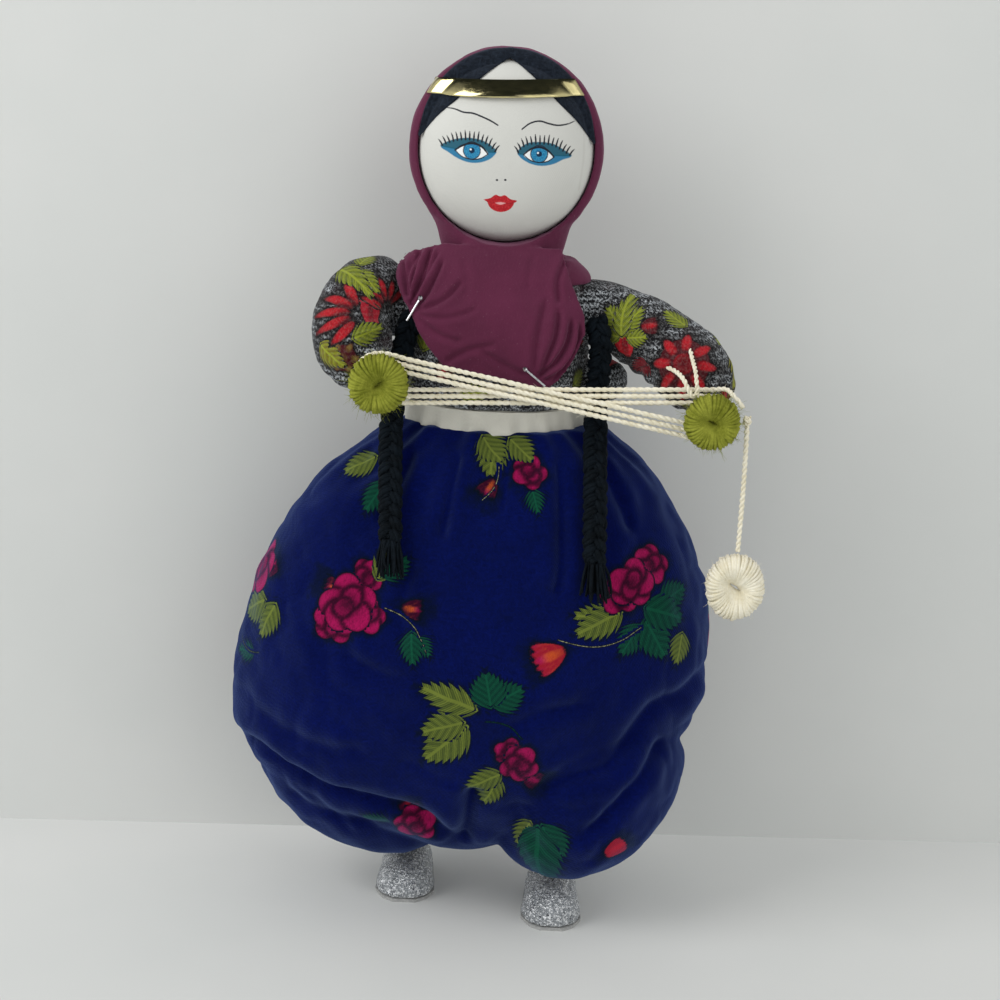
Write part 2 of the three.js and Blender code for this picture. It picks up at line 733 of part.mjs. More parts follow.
function sleeve(side, bend, wrist) {
  const start = vec(side * SHOULDER_SPAN, 0, SHOULDER_HEIGHT);
  const neck = vec(side * (SHOULDER_SPAN + SHOULDER_NECK), 0, SHOULDER_HEIGHT);
  const radiusAt = (along) => {
    const full = THREE.MathUtils.smoothstep(along, PLUMP_FROM, PLUMP_TO);
    const taper = THREE.MathUtils.smoothstep(along, 1 - WRIST_TAPER, 1);
    const plump = SHOULDER_RADIUS + (ARM_RADIUS - SHOULDER_RADIUS) * full;
    return plump + (WRIST_RADIUS - plump) * taper ** WRIST_TAPER_POWER;
  };
  const length = WRIST_LENGTH + WRIST_RADIUS;
  const wristBar = new THREE.CylinderGeometry(WRIST_RADIUS, WRIST_RADIUS, length, LIMB_SIDES);
  const barMiddle = wrist.y + WRIST_RADIUS / 2 - WRIST_LENGTH / 2;
  return solid(limb([start, neck, ...bend, wrist], radiusAt, LIMB_SIDES, ARM_RINGS))
    .add(shoulderForm(side, 0))
    .add(solid(wristBar.translate(wrist.x, barMiddle, wrist.z)));
}

// A pompom, flattened to the front, with the dents between its yarn bundles
function pompom(middle, halfWidth, halfHeight, halfDepth, ribs, dimple) {
  const rings = steps(RING_MARGIN, 1 - RING_MARGIN, POMPOM_RINGS).map((part) => {
    const polar = Math.PI * part;
    const front = Math.cos(polar);
    const hollow = 1 - dimple * Math.max(0, Math.abs(front) - DIMPLE_EDGE) ** 2 * 4;
    return around(ribs * 3, (angle) => {
      const rib = 1 + (POMPOM_RIB_DEPTH / halfWidth) * Math.cos(ribs * angle) * Math.sin(polar);
      const round = Math.sin(polar) ** POMPOM_ROUNDING * rib;
      return vec(
        middle.x + halfWidth * round * Math.cos(angle),
        middle.y - halfDepth * front * hollow,
        middle.z + halfHeight * round * Math.sin(angle),
      );
    });
  });
  return solid(skin(rings));
}

function handMiddle(wrist) {
  return vec(wrist.x, wrist.y - WRIST_LENGTH - CLEARANCE - HAND_HALF_THICKNESS, wrist.z);
}

function hand(wrist, radius) {
  return pompom(handMiddle(wrist), radius, radius, HAND_HALF_THICKNESS, POMPOM_RIBS, 0);
}

function loopRadius(lap) {
  return WRIST_RADIUS + YARN_CLEARANCE + YARN_RADIUS + lap * WINDING_PITCH;
}

// Points of part of a loop round a wrist, drifting from one plane and radius to the next
function wristLoop(wrist, startTurn, endTurn, startRadius, endRadius, startPlane, endPlane) {
  return steps(0, 1, LOOP_STEPS).map((part) => {
    const turn = Math.PI * (startTurn + (endTurn - startTurn) * part);
    const radius = startRadius + (endRadius - startRadius) * part;
    const plane = startPlane + (endPlane - startPlane) * part;
    return vec(wrist.x + radius * Math.cos(turn), plane, wrist.z + radius * Math.sin(turn));
  });
}

function hitchMiddle() {
  const hand = handMiddle(RIGHT_WRIST);
  const reach = RIGHT_HAND_RADIUS + POMPOM_RIB_DEPTH + CLEARANCE + HITCH_RADIUS;
  return vec(hand.x + reach, hand.y + 1, hand.z + 1);
}

// The plane of the yarn's runs from below the left wrist to above the right one
function backPlane() {
  return LEFT_WRIST.y - WRIST_LENGTH / 2 + WINDING_PITCH / 2;
}

// The figure of eight: over the left wrist, under it, over the right, and off over the right hand
function windingPoints() {
  const back = backPlane();
  const front = back - WINDING_PITCH;
  const points = [];
  for (let lap = 0; lap < WINDING_LAPS; lap += 1) {
    const left = loopRadius(WINDING_LAPS - 1 - lap);
    const right = loopRadius(lap);
    const rightStart = vec(RIGHT_WRIST.x, front, RIGHT_WRIST.z - right);
    const rightEnd = vec(RIGHT_WRIST.x, back, RIGHT_WRIST.z + right);
    const leftLoop = wristLoop(LEFT_WRIST, 0.5, 1.5, left, left, front, back);
    points.push(...pointsBetween(rightStart, leftLoop[0], lap === 0));
    points.push(...leftLoop);
    points.push(...pointsBetween(leftLoop[leftLoop.length - 1], rightEnd, false));
    if (lap < WINDING_LAPS - 1) {
      points.push(...wristLoop(RIGHT_WRIST, 0.5, -0.5, right, loopRadius(lap + 1), back, front));
    } else {
      points.push(rightEnd, ...overTheHand(rightEnd));
    }
  }
  return points;
}

// Points between two ends, with the first end itself only where a run begins the yarn
function pointsBetween(from, to, withStart) {
  const inner = steps(0, 1, RUN_STEPS).slice(withStart ? 0 : 1, -1);
  return inner.map((part) => from.clone().lerp(to, part));
}

function overTheHand(from) {
  const hand = handMiddle(RIGHT_WRIST);
  const reach = RIGHT_HAND_RADIUS + POMPOM_RIB_DEPTH + YARN_CLEARANCE + YARN_RADIUS;
  const plane = hitchMiddle().y;
  return OVER_HAND_TURNS.map((turn, i) => {
    const y = from.y + (plane - from.y) * Math.min(1, (i + 1) / 2);
    return vec(hand.x + reach * Math.cos(Math.PI * turn), y, hand.z + reach * Math.sin(Math.PI * turn));
  });
}

function yarnWinding() {
  return solid(tube(windingPoints(), () => YARN_RADIUS, YARN_SIDES));
}

// The least gap between two stretches of the winding that do not follow each other
function leastWindingGap() {
  const dense = [];
  const points = windingPoints();
  points.slice(1).forEach((point, i) => {
    steps(0, 1, 6).slice(1).forEach((part) => dense.push(points[i].clone().lerp(point, part)));
  });
  const travelled = [0];
  dense.slice(1).forEach((point, i) => travelled.push(travelled[i] + point.distanceTo(dense[i])));
  let least = Infinity;
  dense.forEach((a, i) => {
    dense.slice(i + 1).forEach((b, j) => {
      if (travelled[i + 1 + j] - travelled[i] > 12 * YARN_RADIUS) {
        least = Math.min(least, a.distanceTo(b));
      }
    });
  });
  return least - 2 * YARN_RADIUS;
}

// The short loop of yarn that holds the winding to the right sleeve
function yarnTie() {
  const cloth = new THREE.Mesh(geometryOf(sleeve(1, RIGHT_ARM_BEND, RIGHT_WRIST)));
  const onSleeve = (place) => {
    const ray = new THREE.Raycaster(vec(place.x, 3 * RIGHT_WRIST.y, place.z), vec(0, 1, 0));
    const [hit] = ray.intersectObject(cloth);
    return vec(place.x, hit.point.y - TIE_STAND_OFF, place.z);
  };
  const onYarn = (place) => vec(place.x, backPlane() - 2 * YARN_RADIUS - CLEARANCE, place.z);
  const route = [...TIE_FROM.map(onSleeve), ...TIE_OVER_YARN.map(onYarn), ...TIE_TO.map(onSleeve)];
  return solid(tube(smoothRoute(route, TIE_STEPS), () => YARN_RADIUS, YARN_SIDES));
}

function dropYarn() {
  const top = hitchMiddle();
  top.z -= HITCH_RADIUS + CLEARANCE;
  const route = [0, 0.25, 0.5, 0.75, 1].map((part) => vec(top.x, top.y, top.z - part * DROP_LENGTH));
  return solid(tube(smoothRoute(route, DROP_STEPS), () => YARN_RADIUS, CORD_SIDES));
}

function yarnDisc() {
  const top = hitchMiddle();
  const fall = HITCH_RADIUS + 2 * CLEARANCE + DROP_LENGTH + DISC_HALF_HEIGHT + POMPOM_RIB_DEPTH;
  const middle = vec(top.x, top.y, top.z - fall);
  return pompom(middle, DISC_HALF_WIDTH, DISC_HALF_HEIGHT, DISC_HALF_THICKNESS, DISC_RIBS, DISC_DIMPLE);
}

function plait(along) {
  return BRAID_RADIUS * (1 - BRAID_PINCH * (0.5 + 0.5 * Math.cos(2 * Math.PI * BRAID_PLAIT * along)));
}

function braidTop(route) {
  return solid(limb(route, plait, BRAID_SIDES, BRAID_RINGS));
}

// The hanging part of a braid lies on the front of the trousers
function braidRoute(top, bottom) {
  const hinge = vec(top.x, BRAID_HINGE_DEPTH, BRAID_HINGE_HEIGHT);
  const resting = steps(0.25, 1, 5).map((part) => {
    const height = hinge.z + (bottom.z - hinge.z) * part;
    const x = hinge.x + (bottom.x - hinge.x) * part;
    const standOff = (BRAID_RADIUS + 2 * CLEARANCE) * trousersSlant(x, height);
    return vec(x, trousersFront(x, height) - standOff, height);
  });
  return [hinge, ...resting];
}

function braid(top, bottom) {
  const route = braidRoute(top[top.length - 1], bottom);
  return solid(limb(route, plait, BRAID_SIDES, BRAID_RINGS));
}

function tuft(top, bottom) {
  const route = braidRoute(top[top.length - 1], bottom);
  const end = route[route.length - 1];
  const ahead = end.clone().sub(route[route.length - 2]).normalize();
  const start = end.clone().addScaledVector(ahead, CLEARANCE);
  const tip = start.clone().addScaledVector(ahead, TUFT_LENGTH);
  const neck = BRAID_RADIUS * TUFT_NECK;
  const fan = (along) => neck + (TUFT_RADIUS - neck) * Math.sin(Math.PI * 0.7 * along);
  return solid(limb([start, start.clone().lerp(tip, 0.5), tip], fan, BRAID_SIDES, 6));
}

// Cloth layers round the torso, the blouse with its loose fold below the right sleeve
function blouse() {
  return torsoForm(CLEARANCE + BLOUSE_THICKNESS)
    .add(ball(UNDERARM_FOLD.middle, UNDERARM_FOLD.size))
    .subtract(torsoForm(CLEARANCE))
    .intersect(slab(BLOUSE_HEM, BLOUSE_NECK))
    .subtract(armholes(3 * CLEARANCE));
}

function underskirt() {
  const bottom = TROUSERS[TROUSERS.length - 1].height + 2 * (CLEARANCE + WAIST_THREAD_RADIUS);
  const outer = tower([bottom, (bottom + BLOUSE_HEM) / 2, BLOUSE_HEM - CLEARANCE], (height) =>
    around(UNDERSKIRT_SCALLOPS * 4, (angle) => {
      const ruffle = UNDERSKIRT_SCALLOP * Math.cos(UNDERSKIRT_SCALLOPS * angle);
      const reach = CLEARANCE + UNDERSKIRT_THICKNESS + ruffle;
      const half = between(TORSO, 'height', 'width', height) + reach;
      const depth = between(TORSO, 'height', 'depth', height) + reach;
      return vec(half * Math.cos(angle), depth * Math.sin(angle), height);
    }),
  );
  return solid(outer).subtract(torsoForm(CLEARANCE));
}

// How far the scarf stands out from the middle of the torso, at the front or the side
function scarfReach(size, fullness, height) {
  const layers = BLOUSE_THICKNESS + 2 * CLEARANCE + SCARF_THICKNESS;
  const rise = THREE.MathUtils.smoothstep(height, COLLAR_BOTTOM - 6, TORSO[TORSO.length - 1].height);
  return between(TORSO, 'height', size, height) + layers + fullness * rise;
}

function scarfFront(x, height) {
  const across = Math.min(1, Math.abs(x) / (scarfReach('width', SCARF_NECK_WIDTH, height) + SCARF_SIDE_ROOM));
  return -(scarfReach('depth', SCARF_NECK_DEPTH, height) + SCARF_FOLD) * (1 - across ** 3) ** (1 / 3);
}

function collar() {
  const high = HOOD_SKIRT_BOTTOM - NOD_ROOM;
  const outer = tower(steps(COLLAR_BOTTOM, high, 4), (height) =>
    around(HEAD_SIDES, (angle) => {
      const half = scarfReach('width', SCARF_NECK_WIDTH, height);
      const depth = scarfReach('depth', SCARF_NECK_DEPTH, height);
      return vec(half * Math.cos(angle), depth * Math.sin(angle), height);
    }),
  );
  return solid(outer);
}

// The chest panel of the scarf, hung between its two edges, with folds that run down from the shoulder pin
function chestPanel() {
  const left = new THREE.CatmullRomCurve3(BIB_LEFT_EDGE, false, 'centripetal');
  const right = new THREE.CatmullRomCurve3(BIB_RIGHT_EDGE, false, 'centripetal');
  const rows = steps(0, 1, BIB_ROWS).map((down) => {
    const [from, to] = [left.getPointAt(down), right.getPointAt(down)];
    return steps(0, 1, BIB_COLUMNS).map((across) => {
      const place = from.clone().lerp(to, across);
      const fold = 0.5 * SCARF_FOLD * (1 + Math.cos(Math.PI * SCARF_FOLDS * (across + 0.35 * down)));
      return vec(place.x, scarfFront(place.x, place.z) + fold, place.z);
    });
  });
  return solid(sheet(rows, SCARF_THICKNESS));
}

function scarfBib() {
  return chestPanel()
    .add(collar())
    .subtract(torsoForm(2 * CLEARANCE + BLOUSE_THICKNESS))
    .subtract(armholes(3 * CLEARANCE));
}

function pin(place, turn, press) {
  const shaft = new THREE.CylinderGeometry(PIN_RADIUS, PIN_RADIUS, PIN_LENGTH, 6);
  const head = new THREE.SphereGeometry(PIN_HEAD_RADIUS, 8, 6).translate(0, PIN_LENGTH / 2, 0);
  const depth = scarfFront(place.x, place.z) - PIN_HEAD_RADIUS - CLEARANCE + press;
  const placed = (form) => form.rotateX(Math.PI / 2).rotateY(turn).translate(place.x, depth, place.z);
  return solid(placed(shaft)).add(solid(placed(head)));
}

function torsoCore() {
  return torsoForm(0).subtract(armholes(2 * CLEARANCE));
}

const WHITE_COTTON = { color: 0xe9e8e2, roughness: 0.9 };
const PLUM_COTTON = { color: 0x6b2b4f, roughness: 0.85 };
const PRINTED_JERSEY = { color: 0x3b3536, roughness: 0.95 };
const BLUE_FLANNEL = { color: 0x141d63, roughness: 0.95 };
const BLACK_FELT = { color: 0x15171c, roughness: 0.95 };
const BLACK_YARN = { color: 0x0f1418, roughness: 0.95 };
const LIME_YARN = { color: 0x96a028, roughness: 0.95 };
const CREAM_YARN = { color: 0xe6dfc8, roughness: 0.9 };
const WADDING = { color: 0xf2f0ea, roughness: 1 };
const GOLD_FOIL = { color: 0xc9a95a, roughness: 0.2, metalness: 0.9 };
const PIN_STEEL = { color: 0xc8c8c8, roughness: 0.3, metalness: 1 };
const SILVER_GLITTER = { color: 0xa9adb0, roughness: 0.5, metalness: 0.6 };
const SOLE_CARD = { color: 0x3a3836, roughness: 0.9 };
const CREAM_THREAD = { color: 0xd8d4c6, roughness: 0.9 };

const pieces = [
  ['head_core', headForm(0), WADDING],
  ['face_cloth', faceLayer(faceOutline(0), CLEARANCE, CLOTH), WHITE_COTTON],
  ['hair_left', hair(-1), BLACK_FELT],
  ['hair_right', hair(1), BLACK_FELT],
  ['headband', headband(), GOLD_FOIL],
  ['scarf_hood', scarfHood(), PLUM_COTTON],
  ['torso_core', torsoCore(), WADDING],
  ['blouse', blouse(), PRINTED_JERSEY],
  ['underskirt', underskirt(), WHITE_COTTON],
  ['waist_thread', waistThread(), CREAM_THREAD],
  ['scarf_bib', scarfBib(), PLUM_COTTON],
  ['scarf_pin_left', pin(LEFT_PIN, LEFT_PIN_TURN, LEFT_PIN_PRESS), PIN_STEEL],
  ['scarf_pin_lower', pin(LOWER_PIN, LOWER_PIN_TURN, LOWER_PIN_PRESS), PIN_STEEL],
  ['trousers', trousers(), BLUE_FLANNEL],
  ['leg_left', legForm(LEFT_TOE, 0), WADDING],
  ['leg_right', legForm(RIGHT_TOE, 0), WADDING],
  ['cuff_thread_left', cuffThread(LEFT_TOE), CREAM_THREAD],
  ['cuff_thread_right', cuffThread(RIGHT_TOE), CREAM_THREAD],
  ['shoe_left', shoe(LEFT_TOE), SILVER_GLITTER],
  ['shoe_right', shoe(RIGHT_TOE), SILVER_GLITTER],
  ['sole_left', sole(LEFT_TOE), SOLE_CARD],
  ['sole_right', sole(RIGHT_TOE), SOLE_CARD],
  ['braid_top_left', braidTop(LEFT_BRAID_TOP), BLACK_YARN],
  ['braid_top_right', braidTop(RIGHT_BRAID_TOP), BLACK_YARN],
  ['braid_left', braid(LEFT_BRAID_TOP, LEFT_BRAID_BOTTOM), BLACK_YARN],
  ['braid_right', braid(RIGHT_BRAID_TOP, RIGHT_BRAID_BOTTOM), BLACK_YARN],
  ['braid_end_left', tuft(LEFT_BRAID_TOP, LEFT_BRAID_BOTTOM), BLACK_YARN],
  ['braid_end_right', tuft(RIGHT_BRAID_TOP, RIGHT_BRAID_BOTTOM), BLACK_YARN],
  ['sleeve_left', sleeve(-1, LEFT_ARM_BEND, LEFT_WRIST), PRINTED_JERSEY],
  ['sleeve_right', sleeve(1, RIGHT_ARM_BEND, RIGHT_WRIST), PRINTED_JERSEY],
  ['hand_left', hand(LEFT_WRIST, LEFT_HAND_RADIUS), LIME_YARN],
  ['hand_right', hand(RIGHT_WRIST, RIGHT_HAND_RADIUS), LIME_YARN],
  ['yarn_winding', yarnWinding(), CREAM_YARN],
  ['yarn_tie', yarnTie(), CREAM_YARN],
  ['yarn_hitch', ball(hitchMiddle(), vec(HITCH_RADIUS, HITCH_RADIUS, HITCH_RADIUS)), CREAM_YARN],
  ['yarn_drop', dropYarn(), CREAM_YARN],
  ['yarn_disc', yarnDisc(), CREAM_YARN],
];

console.log(`Least gap of the winding to itself: ${leastWindingGap().toFixed(2)} mm`);

const HANGING = ['yarn_drop', 'yarn_disc'];
const doll = new THREE.Group();
const reach = new THREE.Box3();
for (const [name, form, finish] of pieces) {
  const mesh = new THREE.Mesh(geometryOf(form), new THREE.MeshStandardMaterial({ metalness: 0, ...finish }));
  mesh.name = name;
  if (!HANGING.includes(name)) {
    reach.expandByObject(mesh);
  }
  doll.add(mesh);
}

// The origin is under the middle of the doll, not counting the yarn that hangs from its hand
const middle = reach.getCenter(vec(0, 0, 0));
doll.position.set(-middle.x, -middle.y, 0);
console.log(`Moved by ${-middle.x.toFixed(3)}, ${-middle.y.toFixed(3)} mm`);

const part = new THREE.Group();
part.add(doll);

export default part;
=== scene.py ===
import math

import bmesh
import bpy
import numpy as np
from mathutils import Matrix, Vector
from mathutils.bvhtree import BVHTree


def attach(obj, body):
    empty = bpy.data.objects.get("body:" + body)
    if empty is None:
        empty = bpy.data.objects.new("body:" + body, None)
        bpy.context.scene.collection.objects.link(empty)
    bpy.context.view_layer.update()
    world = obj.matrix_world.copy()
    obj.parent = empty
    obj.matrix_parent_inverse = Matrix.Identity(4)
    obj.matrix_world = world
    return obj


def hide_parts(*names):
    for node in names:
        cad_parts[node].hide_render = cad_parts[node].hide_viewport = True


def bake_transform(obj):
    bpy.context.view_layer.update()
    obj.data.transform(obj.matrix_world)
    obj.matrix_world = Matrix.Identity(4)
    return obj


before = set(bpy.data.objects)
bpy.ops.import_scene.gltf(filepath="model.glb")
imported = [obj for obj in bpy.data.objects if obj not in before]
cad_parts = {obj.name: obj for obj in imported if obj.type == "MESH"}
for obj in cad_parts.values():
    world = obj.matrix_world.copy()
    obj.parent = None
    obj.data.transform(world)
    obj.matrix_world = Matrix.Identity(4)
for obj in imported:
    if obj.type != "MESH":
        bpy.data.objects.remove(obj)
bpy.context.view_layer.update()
bpy.ops.object.select_all(action="DESELECT")

FRAME_SHIFT = np.array([3.609, 8.878, 0.0])


def in_frame(points):
    """Bench millimetres to metres in the part's frame."""
    return (np.asarray(points, float) + FRAME_SHIFT) / 1000


# Smooth values, noise and paths

def between(places, values, where):
    """A smooth curve through the values at their places."""
    places, values = np.asarray(places, float), np.asarray(values, float)
    slopes = np.gradient(values, places)
    i = np.clip(np.searchsorted(places, where) - 1, 0, len(places) - 2)
    span = places[i + 1] - places[i]
    t = np.clip((where - places[i]) / span, 0, 1)
    start = (1 + 2 * t) * (1 - t) ** 2 * values[i] + t * (1 - t) ** 2 * span * slopes[i]
    end = t * t * (3 - 2 * t) * values[i + 1] + t * t * (t - 1) * span * slopes[i + 1]
    return start + end


def smoothstep(value, low, high):
    t = np.clip((np.asarray(value, float) - low) / (high - low), 0, 1)
    return t * t * (3 - 2 * t)


def lattice_noise(points, size, seed):
    """Soft noise from -1 to 1, with lumps of about that size."""
    table = np.random.default_rng(seed).uniform(-1, 1, 4096)
    scaled = np.asarray(points, float) / size
    cell = np.floor(scaled).astype(np.int64)
    t = scaled - cell
    t = t * t * (3 - 2 * t)
    total = 0
    for corner in range(8):
        step = np.array([corner & 1, corner >> 1 & 1, corner >> 2 & 1])
        at = cell + step
        value = table[(at[:, 0] * 73 + at[:, 1] * 1291 + at[:, 2] * 709) % 4096]
        total = total + value * np.prod(np.where(step, t, 1 - t), axis=1)
    return total


def cloth_noise(points, size, seed, octaves=3):
    return sum(0.5 ** k * lattice_noise(points, size / 2 ** k, seed + k) for k in range(octaves))


def length_along(path):
    """How far each point of a path is from its start."""
    return np.concatenate([[0], np.cumsum(np.linalg.norm(np.diff(path, axis=0), axis=1))])


def round_turn(count):
    """Angles all the way round, the last one short of the first."""
    return np.linspace(0, 2 * np.pi, count, endpoint=False)


def smooth_path(points, count):
    """Evenly spaced points on a smooth curve through the given ones."""
    points = np.asarray(points, float)
    along = length_along(points)
    fine = np.linspace(0, along[-1], max(count * 4, 200))
    curve = np.stack([between(along, points[:, k], fine) for k in range(3)], 1)
    run = length_along(curve)
    at = np.linspace(0, run[-1], count)
    return np.stack([np.interp(at, run, curve[:, k]) for k in range(3)], 1)


def seen_path(places, count):
    """A smooth path through places x, z as seen from the front."""
    return smooth_path(np.array([(x, 0, z) for x, z in places]), count)[:, [0, 2]]


def path_length(path):
    return float(np.linalg.norm(np.diff(path, axis=0), axis=1).sum())


def path_frames(path):
    """Tangent and two steady cross directions at each point."""
    path = np.asarray(path, float)
    tangent = np.gradient(path, axis=0)
    tangent /= np.linalg.norm(tangent, axis=1)[:, None]
    across = np.zeros_like(path)
    guess = np.array([0, 0, 1.0]) if abs(tangent[0, 2]) < 0.9 else np.array([1.0, 0, 0])
    for i, ahead in enumerate(tangent):
        guess = guess - ahead * guess.dot(ahead)
        guess /= np.linalg.norm(guess)
        across[i] = guess
    return tangent, across, np.cross(tangent, across)


# Meshes

def new_piece(name, points, faces, material):
    """A smooth-shaded mesh in the scene, its faces pointing outwards."""
    mesh = bpy.data.meshes.new(name)
    mesh.from_pydata(in_frame(points).tolist(), [], faces)
    mesh.materials.append(material)
    shell = bmesh.new()
    shell.from_mesh(mesh)
    bmesh.ops.recalc_face_normals(shell, faces=shell.faces)
    shell.to_mesh(mesh)
    shell.free()
    mesh.polygons.foreach_set("use_smooth", [True] * len(mesh.polygons))
    mesh.update()
    piece = bpy.data.objects.new(name, mesh)
    bpy.context.scene.collection.objects.link(piece)
    return piece


def grid_faces(rows, columns, wrap_columns=True, wrap_rows=False):
    """Four-sided faces between the points of a grid."""
    r = np.arange(rows if wrap_rows else rows - 1)
    c = np.arange(columns if wrap_columns else columns - 1)
    r, c = [v.ravel() for v in np.meshgrid(r, c, indexing="ij")]
    r2, c2 = (r + 1) % rows, (c + 1) % columns
    return np.stack([r * columns + c, r * columns + c2, r2 * columns + c2, r2 * columns + c], 1).tolist()


def level_ring(x, y, height):
    """A ring of points at one height."""
    return np.stack([x, y, np.full_like(x, height)], 1)


def closed_rings(rings):
    """Points and faces of a skin over rings, closed at both ends."""
    rings = np.asarray(rings, float)
    rows, columns = rings.shape[:2]
    points = np.concatenate([rings.reshape(-1, 3), rings[:1].mean(1), rings[-1:].mean(1)])
    faces = grid_faces(rows, columns)
    low, high, last = rows * columns, rows * columns + 1, (rows - 1) * columns
    for c in range(columns):
        after = (c + 1) % columns
        faces.append([low, after, c])
        faces.append([high, last + c, last + after])
    return points, faces


def join(parts):
    """One set of points and faces from several."""
    points, faces, start = [], [], 0
    for part_points, part_faces in parts:
        points.append(np.asarray(part_points, float))
        faces.extend([[i + start for i in face] for face in part_faces])
        start += len(part_points)
    return np.concatenate(points), faces


def ring_ways(across, up, turn):
    """Ways out from a path, for each of its points and each angle."""
    return across[:, None] * np.cos(turn)[None, :, None] + up[:, None] * np.sin(turn)[None, :, None]


def tube(path, radius, sides):
    path = np.asarray(path, float)
    radius = np.broadcast_to(np.asarray(radius, float), len(path))
    _, across, up = path_frames(path)
    return closed_rings(path[:, None] + ring_ways(across, up, round_turn(sides)) * radius[:, None, None])


def plied_yarn(path, radius, pitch, sides, thickness=0.56, seed=0):
    """Two twisted strands laid round one another along a path."""
    path = np.asarray(path, float)
    steps = length_along(path)
    _, across, up = path_frames(path)
    wander = cloth_noise(np.stack([steps, steps * 0, steps * 0 + seed], 1), 9, 5 + seed, 2)
    parts = []
    for ply in range(2):
        turn = 2 * np.pi * (steps / pitch + ply / 2) + 0.5 * wander
        offset = radius * (1 - thickness) * (across * np.cos(turn)[:, None] + up * np.sin(turn)[:, None])
        parts.append(tube(path + offset, radius * thickness * (1 + 0.1 * wander), sides))
    return join(parts)


def points_of(piece):
    count = len(piece.data.vertices)
    flat = np.empty(count * 3)
    piece.data.vertices.foreach_get("co", flat)
    return flat.reshape(-1, 3) * 1000 - FRAME_SHIFT


def normals_of(piece):
    flat = np.empty(len(piece.data.vertices) * 3)
    piece.data.vertices.foreach_get("normal", flat)
    return flat.reshape(-1, 3)


def set_points(piece, points):
    piece.data.vertices.foreach_set("co", in_frame(points).ravel())
    piece.data.update()


def set_values(piece, name, values, domain="POINT"):
    values = np.asarray(values, np.float32)
    kind = "FLOAT" if values.ndim == 1 else "FLOAT_COLOR"
    attribute = piece.data.attributes.new(name, kind, domain)
    if values.ndim == 1:
        attribute.data.foreach_set("value", values)
    else:
        full = np.concatenate([values, np.ones((len(values), 1), np.float32)], 1)
        attribute.data.foreach_set("color", full.ravel())


def apply_modifier(piece, kind, **settings):
    bpy.ops.object.select_all(action="DESELECT")
    bpy.context.view_layer.objects.active = piece
    piece.select_set(True)
    modifier = piece.modifiers.new("shape", kind)
    for name, value in settings.items():
        setattr(modifier, name, value)
    bpy.ops.object.modifier_apply(modifier=modifier.name)
    piece.select_set(False)


def fuse(piece, voxel, rounds):
    """Overlapping closed forms become one skin, then it is smoothed."""
    apply_modifier(piece, "REMESH", mode="VOXEL", voxel_size=voxel / 1000, use_smooth_shade=True)
    if rounds:
        apply_modifier(piece, "SMOOTH", factor=0.5, iterations=rounds)


def finish_piece(piece, body, slot, *nodes):
    """Hides the solids a piece stands for and hangs it on the body it moves with; the slot is not used."""
    if nodes:
        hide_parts(*nodes)
    if body:
        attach(piece, body)
    return piece


def to_line(points, line):
    """Distance to a line of points, how far along it, and which side, all in one plane."""
    line = np.asarray(line, float)
    best = np.full(len(points), 1e9)
    along = np.zeros(len(points))
    side = np.zeros(len(points))
    travelled, total = 0, path_length(line)
    for a, b in zip(line[:-1], line[1:]):
        step = b - a
        size = max(np.linalg.norm(step), 1e-9)
        t = np.clip((points - a) @ step / size ** 2, 0, 1)
        away = points - a - t[:, None] * step
        distance = np.linalg.norm(away, axis=1)
        near = distance < best
        best = np.where(near, distance, best)
        along = np.where(near, (travelled + t * size) / total, along)
        side = np.where(near, np.sign(step[0] * away[:, 1] - step[1] * away[:, 0]), side)
        travelled += size
    return best, along, side


# Materials

class Nodes:
    """Short ways to add and join shader nodes in one tree."""

    def __init__(self, tree):
        self.tree = tree

    def add(self, kind, **settings):
        node = self.tree.nodes.new(kind)
        for name, value in settings.items():
            setattr(node, name, value)
        return node

    def put(self, target, value):
        if isinstance(value, bpy.types.NodeSocket):
            self.tree.links.new(value, target)
        elif value is not None:
            target.default_value = value

    def math(self, operation, first, second=None, third=None):
        node = self.add("ShaderNodeMath", operation=operation)
        for slot_input, value in zip(node.inputs, (first, second, third)):
            self.put(slot_input, value)
        return node.outputs[0]

    def times(self, first, second):
        return self.math("MULTIPLY", first, second)

    def ramp(self, value, low, high, low_to=0.0, high_to=1.0):
        node = self.add("ShaderNodeMapRange", interpolation_type="SMOOTHSTEP")
        for name, setting in (("Value", value), ("From Min", low), ("From Max", high),
                              ("To Min", low_to), ("To Max", high_to)):
            self.put(node.inputs[name], setting)
        return node.outputs[0]

    def mix(self, factor, first, second):
        node = self.add("ShaderNodeMix", data_type="RGBA")
        self.put(node.inputs["Factor"], factor)
        self.put(node.inputs[6], first)
        self.put(node.inputs[7], second)
        return node.outputs[2]

    def noise(self, place, scale, detail=3.0, roughness=0.55):
        node = self.add("ShaderNodeTexNoise")
        for name, value in (("Vector", place), ("Scale", scale), ("Detail", detail),
                            ("Roughness", roughness)):
            self.put(node.inputs[name], value)
        return node.outputs["Fac"]

    def stretched(self, place, scale, rotation=(0, 0, 0)):
        node = self.add("ShaderNodeMapping")
        self.put(node.inputs["Vector"], place)
        node.inputs["Scale"].default_value = scale
        node.inputs["Rotation"].default_value = rotation
        return node.outputs[0]

    def group(self, tree, **values):
        node = self.add("ShaderNodeGroup", node_tree=tree)
        for name, value in values.items():
            self.put(node.inputs[name.replace("_", " ")], value)
        return node.outputs

    def place(self):
        return self.add("ShaderNodeTexCoord").outputs["Object"]

    def value_of(self, name):
        return self.add("ShaderNodeAttribute", attribute_name=name).outputs["Fac"]

    def colour_of(self, name):
        return self.add("ShaderNodeAttribute", attribute_name=name).outputs["Color"]


